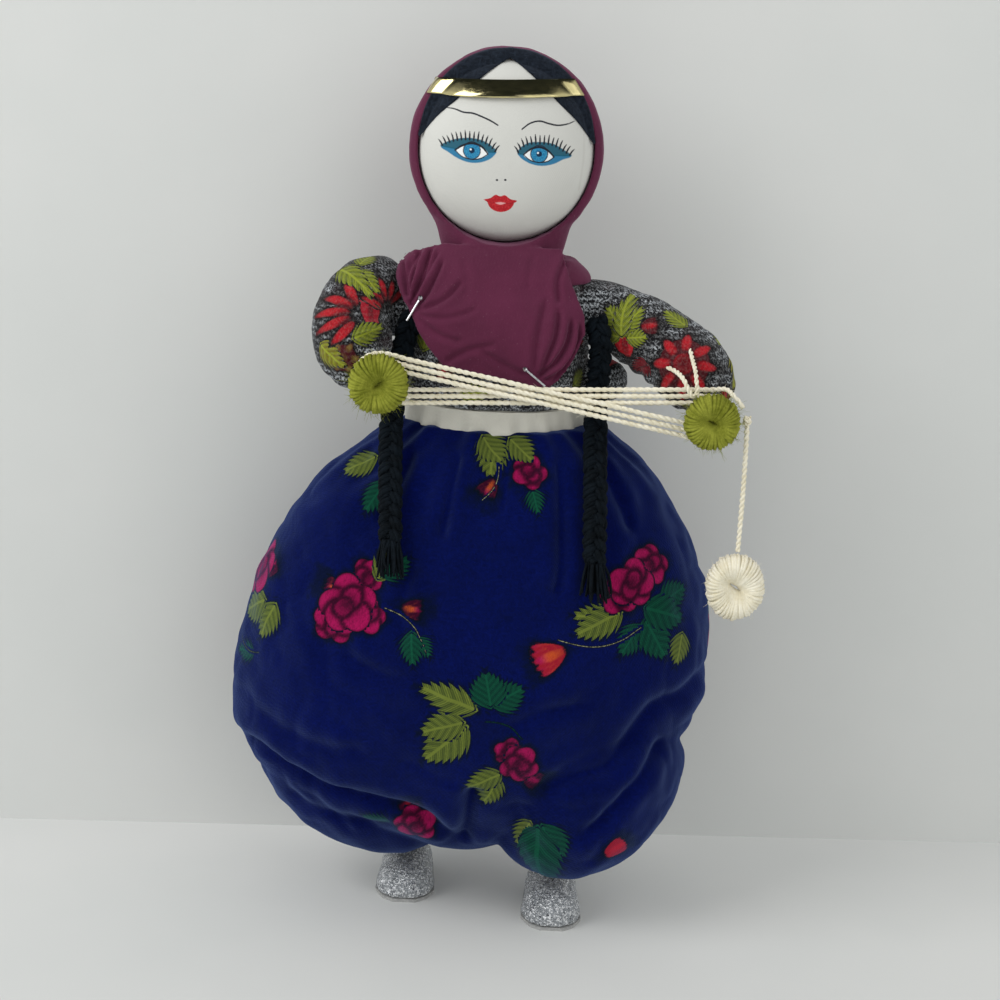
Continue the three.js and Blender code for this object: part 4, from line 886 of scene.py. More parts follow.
# Each motif: its kind, place, turn in degrees, length, width, colour and shade
TROUSER_PRINTS = [
    ("leaf", (-4, -31, 220), -66, 12, 5, *MOSS_GREEN),
    ("leaf", (1, -31, 220), -94, 15, 5.5, *MOSS_GREEN),
    ("leaf", (6, -31, 220), -42, 12, 4.5, *MOSS_GREEN),
    ("rose", (16.5, -36.6, 206), 0, 6.4, 0, *PINK),
    ("bud", (15.5, -35, 212), -95, 9, 4.4, ORANGE, DEEP_ROSE),
    ("stem", (4, -38, 209), -118, 14, 0.7, PALE_STEM, LEAF),
    ("bud", (2.0, -39, 205), -112, 9, 3.2, ORANGE, DEEP_ROSE),
    ("leaf", (17, -38, 199), -70, 9, 3, *FIR_GREEN),
    ("leaf", (-50, -22, 207), 215, 14, 5, *MOSS_GREEN),
    ("leaf", (-44, -30, 197), 245, 13, 4.5, *FIR_GREEN),
    ("rose", (-99, -14, 153), 0, 11, 0, *PINK),
    ("bud", (-93, -20, 149), 60, 10, 5, *PINK),
    ("leaf", (-90, -26, 141), 205, 17, 6.5, *MOSS_GREEN),
    ("leaf", (-88, -31, 141), 245, 15, 5, *MOSS_GREEN),
    ("leaf", (-98, -28, 118), 190, 13, 3.4, *FIR_GREEN),
    ("stem", (-94, -30, 119), 172, 16, 0.7, *MOSS_GREEN),
    ("leaf", (-44, -44, 160), 38, 12, 4.5, *FIR_GREEN),
    ("leaf", (-45, -44, 158), 70, 14, 4.5, *MOSS_GREEN),
    ("rose", (-57, -42, 147), 0, 10.5, 0, *PINK),
    ("rose", (-50, -43, 159), 0, 6.5, 0, *PINK),
    ("rose", (-61, -42, 138.5), 0, 8, 0, *PINK),
    ("rose", (-48, -45, 142.5), 0, 7, 0, *PINK),
    ("bud", (-59, -42, 152), 168, 9, 2.6, ORANGE, DEEP_ROSE),
    ("bud", (-37, -49, 149), -8, 9, 3.4, ORANGE, DEEP_ROSE),
    ("stem", (-42, -50, 148), -42, 22, 0.7, PALE_STEM, LEAF),
    ("leaf", (-30, -53, 138), -80, 12, 4, *FIR_GREEN),
    ("leaf", (-28, -54, 136), -50, 8, 3, *FIR_GREEN),
    ("rose", (61, -40, 161), 0, 9, 0, *PINK),
    ("rose", (69, -35, 167), 0, 7.5, 0, *PINK),
    ("rose", (55, -43, 156.5), 0, 7.5, 0, *PINK),
    ("bud", (70, -36, 163), 60, 9, 5, *PINK),
    ("leaf", (57, -44, 149), 205, 19, 5.5, *MOSS_GREEN),
    ("leaf", (55, -45, 146), 175, 16, 4.5, *MOSS_GREEN),
    ("leaf", (66, -40, 150), -20, 18, 6.5, *FIR_GREEN),
    ("leaf", (68, -42, 146), -62, 17, 6.5, *FIR_GREEN),
    ("leaf", (74, -38, 152), 22, 13, 5, *FIR_GREEN),
    ("leaf", (84, -32, 137), -110, 12, 4.5, *MOSS_GREEN),
    ("leaf", (66, -44, 143), -130, 13, 5, *FIR_GREEN),
    ("stem", (67, -44, 142.5), 184, 32, 0.8, PALE_STEM, LEAF),
    ("bud", (36, -55, 135), 200, 14, 5, ORANGE, BUD),
    ("bud", (31, -56, 133.5), 190, 10, 5.5, RED, DEEP_ROSE),
    ("leaf", (4, -61, 110), 100, 13, 6.5, *FIR_GREEN),
    ("leaf", (4, -61, 111), 30, 13, 5.5, *FIR_GREEN),
    ("leaf", (-2, -61, 109), 160, 22, 5, *MOSS_GREEN),
    ("leaf", (-6, -62, 103), 195, 16, 5.5, *MOSS_GREEN),
    ("leaf", (-5, -62, 101), 222, 20, 7, *MOSS_GREEN),
    ("stem", (2, -61, 104), -25, 15, 0.6, *FIR_GREEN),
    ("rose", (17, -61, 84), 0, 7.5, 0, *PINK),
    ("rose", (13, -61, 91), 0, 5.5, 0, *PINK), ("bud", (18, -61, 80), -35, 9, 4, *PINK),
    ("leaf", (10, -60, 80), 205, 14, 4.5, *MOSS_GREEN),
    ("leaf", (9, -60, 78), 245, 12, 4.5, *MOSS_GREEN),
    ("leaf", (26, -57, 54), -95, 28, 8.5, *FIR_GREEN),
    ("leaf", (22, -57, 56), -120, 14, 4, *MOSS_GREEN),
    ("leaf", (29, -56, 56), -60, 15, 6, *FIR_GREEN),
    ("bud", (17, -55, 46), -80, 11, 4.5, ORANGE, BUD), ("bud", (55, -52, 42), 30, 10, 5, RED, BUD),
    ("rose", (-26, -48, 50), 0, 8, 0, *PINK), ("bud", (-27, -48, 54), 120, 8, 4, BUD, DEEP_ROSE),
    ("leaf", (-37, -46, 52), 150, 10, 3.5, *FIR_GREEN),
]
# Places of the sprays at the sides and the back
SPARE_SPRAYS = [(-60, 44, 180), (10, 44, 168), (70, 40, 150), (-80, 44, 120), (-20, 48, 118), (40, 46, 112),
                (-50, 42, 66), (30, 36, 62), (82, 34, 88), (-98, 30, 92), (100, 4, 130), (-108, 12, 118),
                (98, 10, 84), (-104, 6, 78)]


def spray(place, seed):
    """A rose with leaves, a bud and its stem, as the cloth repeats them."""
    rng = np.random.default_rng(seed)
    x, y, z = place
    turn = rng.uniform(0, 360)
    at = lambda far, degrees: (x + far * math.cos(math.radians(degrees)) * (-1 if y > 0 else 1), y,
                               z + far * math.sin(math.radians(degrees)))
    return [
        ("leaf", at(5, turn + 200), turn + 190, 18, 6, *MOSS_GREEN),
        ("leaf", at(5, turn + 150), turn + 150, 15, 5.5, *FIR_GREEN),
        ("stem", at(6, turn + 20), turn + 10, 22, 0.8, PALE_STEM, LEAF),
        ("bud", at(24, turn + 16), turn + 15, 11, 4.5, ORANGE, BUD),
        ("rose", at(0, 0), 0, 9.5, 0, *PINK),
        ("rose", at(9, turn + 80), 0, 7, 0, *PINK),
    ]


def trousers():
    parts = [hanging_middle(), leg_balloon(*LEFT_BALLOON, 0.4), leg_balloon(*RIGHT_BALLOON, 2.0),
             cuff_form(LEFT_ANKLE, 0.0), cuff_form(RIGHT_ANKLE, 1.0)]
    piece = new_piece("balloon_trousers", *join(parts), flannel())
    fuse(piece, 1.2, 7)
    points, normals = points_of(piece), normals_of(piece)
    moved = press_folds(points, normals, FRONT_FOLDS, True) + press_folds(points, normals, BACK_FOLDS, False)
    slack = smoothstep(points[:, 2], 24, 50) * smoothstep(points[:, 2], 219, 205)
    crumple = cloth_noise(points * np.array([1, 1, 0.7]), 26, 3) * 1.5
    crumple += (np.abs(cloth_noise(points, 15, 9, 2)) - 0.3) * 1.3
    points = points + normals * (moved * 0.9 + slack * crumple)[:, None]
    set_points(piece, points)
    apply_modifier(piece, "SMOOTH", factor=0.5, iterations=2)
    motifs = list(TROUSER_PRINTS)
    for i, place in enumerate(SPARE_SPRAYS):
        motifs += spray(place, 40 + i)
    lay_prints(piece, motifs, scale=1.2)
    finish_piece(piece, "torso", "blue_flannel", "trousers")


trousers()

# Head: stuffed form, painted face cloth, felt hair, foil band

HEAD_HEIGHT = 336.6
HEAD_HALF = (37.2, 38.7)
HEAD_FRONT, HEAD_BACK = 24.0, 26.0
FACE_FRONT, FACE_INSIDE = 25.35, 24.25
HOOD_GROWTH = 3.9
DOME_POWER = 2.564


def dome(x, z, grow, depth=HEAD_FRONT):
    """How far the head stands out at a place, z measured from the middle of the face."""
    away = np.hypot(x / (HEAD_HALF[0] + grow), z / (HEAD_HALF[1] + grow))
    return (depth + grow) * np.sqrt(np.clip(1 - away ** DOME_POWER, 0, 1))


def head_rings(grow, reaches, depth, count):
    turn = round_turn(count)
    rings = []
    for reach in reaches:
        x = (HEAD_HALF[0] + grow) * reach * np.cos(turn)
        z = (HEAD_HALF[1] + grow) * reach * np.sin(turn)
        y = dome(x, z, grow, abs(depth)) * math.copysign(1, depth)
        rings.append(np.stack([x, y, HEAD_HEIGHT + z], 1))
    return rings


def head_form(grow, count=120, front=-HEAD_FRONT):
    reaches = np.sin(np.linspace(0.02, 0.5, 34) * np.pi)
    return closed_rings(head_rings(grow, reaches, front, count)
                        + head_rings(grow, reaches[::-1][1:], HEAD_BACK, count))


def stroke(points, line, half_widths):
    """Edge distance to a brush stroke whose half width runs along the line."""
    path = seen_path(line, 30)
    distance, along, _ = to_line(points, path)
    return distance - np.interp(along, np.linspace(0, 1, len(half_widths)), half_widths)


def inside_curve(points, outline):
    """Signed distance to a closed outline, below zero inside."""
    path = seen_path(outline + outline[:1], 80)
    distance, _, _ = to_line(points, path)
    inside = np.zeros(len(points), bool)
    for (x1, z1), (x2, z2) in zip(path[:-1], path[1:]):
        crosses = (z1 > points[:, 1]) != (z2 > points[:, 1])
        at = (x2 - x1) * (points[:, 1] - z1) / (z2 - z1 + 1e-9) + x1
        inside ^= crosses & (points[:, 0] < at)
    return np.where(inside, -distance, distance)


# Brows: places x, z along each, and half the width of its stroke
BROWS = [
    ([(-25.6, 353.9), (-21.8, 353.6), (-18.3, 352.6), (-14.2, 352.4), (-10.9, 351.4), (-6.8, 349.8),
      (-3.8, 348.2)],
     [0.2, 0.3, 0.34, 0.34, 0.34, 0.28]),
    ([(6.1, 347.0), (9.3, 349.5), (13.3, 350.5), (17.0, 349.6), (20.4, 349.0), (24.2, 349.4),
      (27.6, 350.6)],
     [0.28, 0.32, 0.34, 0.34, 0.32, 0.2]),
]
# Eyes: places from the middle of the iris, the outer end first
EYES = [
    dict(middle=(-14.0, 337.5), side=-1,
         upper=[(13.1, 1.5), (9.5, 3.3), (6.2, 4.4), (0, 5.0), (-5.3, 3.9), (-8.4, 2.0), (-10.1, 0.2)],
         lower=[(13.1, 0.9), (9.8, -1.3), (5.6, -3.6), (0, -5.0), (-5.2, -4.2), (-8.8, -2.0), (-10.1, 0.0)],
         opening=[(7.0, -0.3), (3.9, 1.8), (0, 2.9), (-3.9, 1.8), (-6.7, -1.1), (-3.9, -2.9), (0, -3.6),
                  (3.9, -2.7)]),
    dict(middle=(13.6, 337.3), side=1,
         upper=[(13.4, 0.0), (9.6, 2.2), (6.6, 3.9), (0, 4.9), (-5.3, 4.1), (-8.0, 2.1), (-8.9, 0.2)],
         lower=[(13.4, -0.5), (9.9, -2.1), (6.2, -3.9), (0.8, -4.8), (-4.7, -3.5), (-8.0, -1.3), (-8.9, 0.0)],
         opening=[(6.2, -1.1), (3.6, 1.4), (0, 2.8), (-3.6, 1.8), (-6.4, -0.5), (-3.6, -2.6), (0, -3.4),
                  (3.6, -2.9)]),
]
UPPER_LIP = [
    (-8.4, 317.6), (-5.6, 318.4), (-3.3, 319.9), (-1.6, 319.3), (0.2, 319.9), (2.5, 318.4), (5.4, 317.6),
    (3.0, 316.2), (-1.4, 316.2), (-6.0, 316.2),
]
LOWER_LIP = [
    (-7.0, 316.9), (-3.6, 316.7), (-1.4, 316.7), (0.9, 316.7), (4.2, 316.9), (2.9, 314.2), (0.6, 312.9),
    (-1.4, 312.6), (-3.6, 313.0), (-5.6, 314.3),
]


def placed_eye(eye, shape):
    (x, z), side = eye["middle"], eye["side"]
    return [(x + side * a, z + b) for a, b in shape]


def paint_face(piece):
    """The painted features, each kept as its own edge distance so that it stays sharp."""
    points = points_of(piece)
    at = points[:, [0, 2]]
    far = np.full(len(points), 9.0)
    front = points[:, 1] < -2
    line = far.copy()
    for path, widths in BROWS:
        line = np.minimum(line, stroke(at, path, widths))
    white, blue, pupil, shadow, glint, lids = [far.copy() for _ in range(6)]
    for eye in EYES:
        (cx, cz), side = eye["middle"], eye["side"]
        upper, lower, opening = [placed_eye(eye, eye[part]) for part in ("upper", "lower", "opening")]
        away = np.hypot(at[:, 0] - cx, at[:, 1] - cz)
        white = np.minimum(white, inside_curve(at, opening))
        blue = np.minimum(blue, away - 3.45)
        pupil = np.minimum(pupil, away - 1.15)
        glint = np.minimum(glint, np.hypot(at[:, 0] - cx + 0.5, at[:, 1] - cz - 0.4) - 0.42)
        line = np.minimum(line, stroke(at, opening[:5], [0.3, 0.42, 0.42, 0.42, 0.25]))
        below = [opening[0]] + opening[:4:-1] + [opening[4]]
        line = np.minimum(line, stroke(at, below, [0.2, 0.22, 0.22, 0.22, 0.2]))
        line = np.minimum(line, np.where(away < 4.4, np.abs(away - 3.5) - 0.2, 9))
        corner_line = np.interp(at[:, 0] * side, [upper[-1][0] * side, cx * side, upper[0][0] * side],
                                [upper[-1][1] - 0.2, cz - 0.2, upper[0][1] - 0.3])
        almond = inside_curve(at, upper + lower[::-1])
        lids = np.minimum(lids, np.maximum(almond, corner_line - 0.45 - at[:, 1]))
        shadow = np.minimum(shadow, np.maximum(almond, at[:, 1] - corner_line))
        roots = seen_path(upper, 61)
        for k in range(15):
            t = k / 14
            root = roots[int(2 + 56 * t)] - np.array([0, 0.7])
            lean = side * (1.9 - 3.6 * t)
            rise = 3.5 * math.sin(math.pi * (0.24 + 0.52 * t)) * (1.0 + 0.1 * math.sin(k * 2.3))
            tip = (root[0] + lean, root[1] + rise)
            middle = (root[0] + 0.42 * lean, root[1] + 0.55 * rise)
            line = np.minimum(line, stroke(at, [tuple(root), middle, tip], [0.36, 0.36, 0.3, 0.16]))
    for x, z in ((-3.2, 326.0), (0.2, 326.2)):
        line = np.minimum(line, np.hypot((at[:, 0] - x) * 0.8, at[:, 1] - z) - 0.42)
    red = np.minimum(inside_curve(at, UPPER_LIP), inside_curve(at, LOWER_LIP))
    parting = stroke(at, [(-7.6, 317.2), (-5.4, 316.5), (-4.0, 316.5)], [0.08, 0.12, 0.08])
    parting = np.minimum(parting, stroke(at, [(1.2, 316.5), (2.6, 316.5), (4.8, 317.2)], [0.08, 0.12, 0.08]))
    sheen = stroke(at, [(-3.4, 316.4), (-1.4, 316.3), (0.6, 316.5)], [0.15, 0.6, 0.15])
    painted = {"paint_line": line, "eye_white": white, "iris": blue, "pupil": pupil, "glint": glint,
               "under_eye": shadow, "lid": lids, "lips": red, "lip_parting": parting, "lip_shine": sheen}
    for name, found in painted.items():
        set_values(piece, name, np.clip(np.where(front, found, 9), -4, 9))
    # Painted shade: a greyer line down the right of the face where the real cloth creases; the face keeps its
    # smooth shape there.
    crease = stroke(at, [(31.5, 352), (32.2, 336), (31.0, 322)], [0.05, 0.1, 0.05])
    set_values(piece, "painted_crease_shade", np.clip(crease, -1, 9))


def face_cotton():
    made, n, shader = material("painted white cotton", 0.88, 0.08, (1, 1, 1), specular=0.25)
    place = n.place()
    weave = n.group(WEAVE, Place=place, Threads=5200.0)
    cloth = cloth_colour(n, srgb(208, 208, 203), 0.03, place, 30.0)
    cloth = n.mix(n.times(n.ramp(weave["Slubs"], 0.55, 0.8), 0.12), cloth, srgb(205, 203, 196))
    # Painted shade: the cloth goes greyer along the crease line at the right of the face.
    crease_shade = n.times(n.ramp(n.value_of("painted_crease_shade"), 0.7, 0.0), 0.35)
    cloth = n.mix(crease_shade, cloth, srgb(190, 188, 182))
    brush = n.math("MULTIPLY_ADD", n.noise(place, 2600.0, 2.0), 0.3, -0.15)

    def layer(below, name, colour, soft=0.14, strength=1.0):
        edge = n.math("ADD", brush, n.value_of(name))
        return n.mix(n.times(n.ramp(edge, soft, -soft), strength), below, colour)

    colour = layer(cloth, "under_eye", srgb(34, 118, 160), 0.25, 0.97)
    colour = layer(colour, "lid", srgb(16, 88, 110), 0.25, 0.97)
    colour = layer(colour, "eye_white", srgb(238, 240, 240), 0.12)
    rays = n.noise(place, 2200.0, 2.0)
    iris = n.mix(n.ramp(rays, 0.4, 0.6), srgb(28, 112, 160), srgb(58, 146, 184))
    colour = layer(colour, "iris", iris)
    colour = layer(colour, "pupil", srgb(14, 44, 72))
    colour = layer(colour, "glint", srgb(240, 246, 250), 0.12)
    colour = layer(colour, "paint_line", srgb(30, 32, 42), 0.14)
    lips = n.mix(n.ramp(n.noise(place, 1500.0, 2.0), 0.4, 0.7), srgb(178, 20, 34), srgb(206, 44, 52))
    colour = layer(colour, "lips", lips, 0.16)
    colour = layer(colour, "lip_parting", srgb(118, 10, 22), 0.14)
    colour = layer(colour, "lip_shine", srgb(240, 190, 190), 0.25, 0.8)
    roughness = n.ramp(n.value_of("lips"), 0.1, -0.1, 0.9, 0.6)
    join_to(shader, n, colour, roughness, weave["Height"], 0.25, 0.00012)
    return made


def plain_cotton():
    made, n, shader = material("white cotton", 0.9, 0.06, (1, 1, 1), specular=0.2)
    place = n.place()
    weave = n.group(WEAVE, Place=place, Threads=4200.0)
    cloth = cloth_colour(n, srgb(206, 204, 194), 0.06, place, 50.0)
    cloth = n.mix(n.times(n.ramp(weave["Slubs"], 0.5, 0.8), 0.2), cloth, srgb(176, 174, 164))
    join_to(shader, n, cloth, n.ramp(weave["Slubs"], 0.2, 0.8, 0.95, 0.85), weave["Height"], 0.35, 0.0002)
    return made


WHITE_COTTON = plain_cotton()


def head():
    core = new_piece("stuffed_head", *head_form(-0.1), WHITE_COTTON)
    finish_piece(core, "head", "wadding", "head_core")
    outer = np.linspace(0.004, 0.995, 125) ** 0.93
    rings = head_rings(0.0, outer, -FACE_FRONT, 440)
    inner = head_rings(0.0, np.linspace(0.995, 0.02, 14), -FACE_INSIDE, 440)
    face = new_piece("painted_face_cloth", *closed_rings(rings + inner), face_cotton())
    paint_face(face)
    finish_piece(face, "head", "white_cotton", "face_cloth")


head()


def front_of_head(x, z, lift):
    """How far a trim stands out: on the face cloth, then over the rim of the hood."""
    rim = flat_rim(dome(x, z, HOOD_GROWTH)) + 0.55 + 0.45 * lift
    return np.maximum(dome(x, z, 0, FACE_FRONT) + lift, rim)


def flat_rim(reach):
    return np.where(reach > 5.5, 5.5 + 0.42 * (reach - 5.5), reach)


def two_sided(front, back):
    """A closed slab between two grids of points."""
    rows, columns = front.shape[:2]
    count = rows * columns
    front_faces = grid_faces(rows, columns, wrap_columns=False)
    back_faces = [[i + count for i in face[::-1]] for face in front_faces]
    rim = list(range(columns)) + [r * columns + columns - 1 for r in range(1, rows)]
    rim += [(rows - 1) * columns + c for c in range(columns - 2, -1, -1)]
    rim += [r * columns for r in range(rows - 2, 0, -1)]
    edges = [[b, a, a + count, b + count] for a, b in zip(rim, rim[1:] + rim[:1])]
    points = np.concatenate([front.reshape(-1, 3), back.reshape(-1, 3)])
    return points, front_faces + back_faces + edges


def face_patch(outline_low, outline_high, grow, thickness, columns, rows, ruffle):
    """A closed strip of felt or foil that lies on the face between two edges, each given as places x, z."""
    low, high = seen_path(outline_low, columns), seen_path(outline_high, columns)
    t = np.linspace(0, 1, rows)[:, None, None]
    place = low[None] * (1 - t) + high[None] * t
    x, z = place[..., 0], place[..., 1]
    lump = cloth_noise(np.stack([x.ravel(), 0 * x.ravel(), z.ravel()], 1), 5, 21).reshape(x.shape)
    front = -front_of_head(x, z - HEAD_HEIGHT, grow) - ruffle * lump
    edge = np.minimum(np.linspace(0, 1, rows)[:, None], np.linspace(1, 0, rows)[:, None]) * (rows - 1)
    side = np.minimum(np.arange(columns), np.arange(columns)[::-1])[None]
    round_off = np.clip(np.minimum(edge, side) / 2.0, 0, 1)
    outer = np.stack([x, front + thickness * 0.5 * (1 - np.sqrt(round_off)), z], 2)
    inner = np.stack([x, front + thickness, z], 2)
    return two_sided(outer, inner)


def felt():
    made, n, shader = material("blue black felt", 0.97, 0.15, (0.5, 0.6, 0.8), specular=0.1)
    place = n.place()
    fibres = n.group(FIBRES, Place=place, Size=800.0)
    colour = n.mix(n.ramp(fibres["Height"], 0.35, 0.85), srgb(11, 15, 22), srgb(38, 46, 58))
    colour = n.mix(n.times(fibres["Lint"], 0.25), colour, srgb(96, 100, 108))
    join_to(shader, n, colour, n.ramp(fibres["Height"], 0.3, 0.8, 1.0, 0.9), fibres["Height"], 0.6, 0.0004)
    return made


def gold_foil():
    made, n, shader = material("gold foil", 0.16, metallic=1.0, specular=0.5)
    place = n.place()
    scuffs = n.noise(n.stretched(place, (40, 300, 900)), 3.0, 4.0, 0.7)
    dull = n.noise(place, 120.0, 4.0)
    colour = n.mix(n.ramp(dull, 0.4, 0.7), srgb(220, 208, 152), srgb(188, 178, 136))
    crinkle = n.noise(place, 260.0, 3.0)
    join_to(shader, n, colour, n.ramp(scuffs, 0.35, 0.8, 0.08, 0.26), crinkle, 0.1, 0.0005)
    return made


def face_trim():
    black_felt, foil = felt(), gold_foil()
    curve = [(0.9, 375.3), (-5.2, 371.4), (-12.7, 365.4), (-20.6, 357.9), (-28.4, 350.8), (-36.3, 341.0)]
    rim = [(1.0, 378.9), (-9.2, 377.7), (-19.2, 373.3), (-28.6, 364.5), (-34.2, 354.2), (-37.0, 341.8)]
    for side, name in ((1, "left"), (-1, "right")):
        low = [(x * side, z) for x, z in curve]
        high = [(x * side, z) for x, z in rim]
        points, faces = face_patch(low, high, 1.0, 1.1, 90, 30, 0.25)
        panel = new_piece("felt_hair_" + name, points, faces, black_felt)
        finish_piece(panel, "head", "black_felt", "hair_" + name)
    low = [(-34.2, 359.0), (-17, 358.8), (-1, 359.2), (15, 360.0), (31.4, 360.8)]
    high = [(-30.8, 365.4), (-15, 365.9), (-1, 366.4), (13, 367.0), (27.0, 367.4)]
    points, faces = face_patch(low, high, 2.4, 0.45, 120, 12, 0.06)
    band = new_piece("foil_band", points, faces, foil)
    finish_piece(band, "head", "gold_foil", "headband")


face_trim()

# Headscarf

# Each row: height, half width, half depth
TORSO = np.array([
    [198, 31, 23], [212, 35.5, 25.5], [228, 37.2, 26.5], [248, 37.4, 28], [264, 38.2, 28], [276, 37.6, 25.5],
    [285, 31, 20.5], [292, 17, 14], [297.1, 9.5, 8.8]])


def torso_size(height, column):
    return between(TORSO[:, 0], TORSO[:, column], height)


def scarf_reach(column, fullness, height):
    return torso_size(height, column) + 3.6 + fullness * smoothstep(height, 278, 297.1)


def scarf_front(x, height):
    across = np.minimum(1, np.abs(x) / (scarf_reach(1, 14, height) + 9))
    return -(scarf_reach(2, 5, height) + 1.5) * (1 - across ** 3) ** (1 / 3)


BIB_LEFT = [
    (-24, 298), (-33, 295.4), (-41, 291.5), (-44.2, 286.5), (-41.3, 277), (-36.6, 269), (-30.4, 258),
    (-21.4, 248),
]
BIB_RIGHT = [
    (25, 298), (27.6, 291), (30.2, 284), (33, 278), (35.9, 271), (35.2, 262), (30.8, 251), (21.7, 241),
]
# Places x, z along each fold, its width and its depth
BIB_FOLDS = [
    ([(-29, 297), (-31, 290), (-34, 281), (-37, 272)], 1.8, 2.4),
    ([(-41, 290), (-40, 283), (-38.5, 276)], 1.5, 1.4), ([(-34, 295), (-36, 287), (-37.5, 277)], 1.5, 1.5),
    ([(22, 243), (29, 250), (33.5, 260), (34, 270)], 1.5, 1.6),
    ([(-36, 271), (-31, 277), (-27, 285), (-24, 293)], 2.0, 1.3),
    ([(-36, 271), (-28, 273.5), (-21, 278), (-15, 285)], 2.2, 0.9),
    ([(-36.5, 272), (-38.5, 280), (-38, 288), (-33, 294)], 2.4, 1.3),
    ([(-35, 270), (-26, 268.5), (-17, 270), (-8, 274)], 2.4, 0.6),
    ([(-34, 268.5), (-25, 262), (-14, 259)], 2.6, 0.8),
    ([(-37, 272), (-34, 280), (-29, 289), (-26, 296)], 1.8, 1.1),
    ([(17, 245), (24, 252), (29, 261), (30.5, 272)], 2.2, 1.8),
    ([(17.5, 245), (21, 254), (24, 263), (25, 276)], 2.4, 1.5),
    ([(16.5, 246), (16, 256), (17, 266), (20, 280)], 2.8, 0.9),
    ([(19, 244), (28, 249.5), (33, 257), (34.5, 266)], 1.8, 1.5),
    ([(14, 246), (4, 250), (-8, 257)], 2.8, 0.8), ([(28, 296), (24, 286), (25, 276)], 2.4, 1.1),
    ([(-22, 250), (-12, 256), (0, 259)], 2.6, 0.7), ([(-16, 294), (-14, 286), (-14, 278)], 3.0, 0.35),
    ([(14, 296), (12, 288), (12, 281)], 3.0, 0.35),
]


def bib_panel():
    left, right = seen_path(BIB_LEFT, 110), seen_path(BIB_RIGHT, 110)
    across = np.linspace(0, 1, 150)[None, :, None]
    place = left[:, None] * (1 - across) + right[:, None] * across
    sag = np.sin(np.pi * across[..., 0]) * 1.6
    x = place[..., 0]
    z = place[..., 1] - sag * np.linspace(0, 1, 110)[:, None]
    front = np.stack([x, scarf_front(x, z) + 0.1, z], 2)[::-1]
    return two_sided(front, front + np.array([0, 1.8, 0]))


def scarf_tower(heights, half, front, back):
    """A closed tower of level rings, with sizes that change with the height."""
    turn = round_turn(120)
    return closed_rings([
        level_ring(half(h) * np.cos(turn), np.where(np.sin(turn) < 0, front(h), back(h)) * np.sin(turn), h)
        for h in heights])


def cut_away(piece, points, faces):
    """Takes a closed form away from a piece."""
    cutter = new_piece("cutter", points, faces, piece.data.materials[0])
    apply_modifier(piece, "BOOLEAN", operation="DIFFERENCE", object=cutter, solver="MANIFOLD")
    bpy.data.objects.remove(cutter)


def plum_cotton():
    made, n, shader = material("plum cotton", 0.86, 0.25, (0.8, 0.4, 0.6), specular=0.22)
    place = n.place()
    weave = n.group(WEAVE, Place=place, Threads=4600.0)
    fibres = n.group(FIBRES, Place=place, Size=700.0)
    cloth = cloth_colour(n, srgb(88, 31, 58), 0.1, place, 45.0)
    cloth = n.mix(n.times(n.ramp(weave["Slubs"], 0.55, 0.85), 0.35), cloth, srgb(108, 48, 78))
    cloth = n.mix(n.times(fibres["Lint"], 0.35), cloth, srgb(158, 128, 142))
    height = n.math("MULTIPLY_ADD", fibres["Height"], 0.5, weave["Height"])
    join_to(shader, n, cloth, n.ramp(weave["Slubs"], 0.2, 0.8, 0.92, 0.8), height, 0.3, 0.0002)
    return made


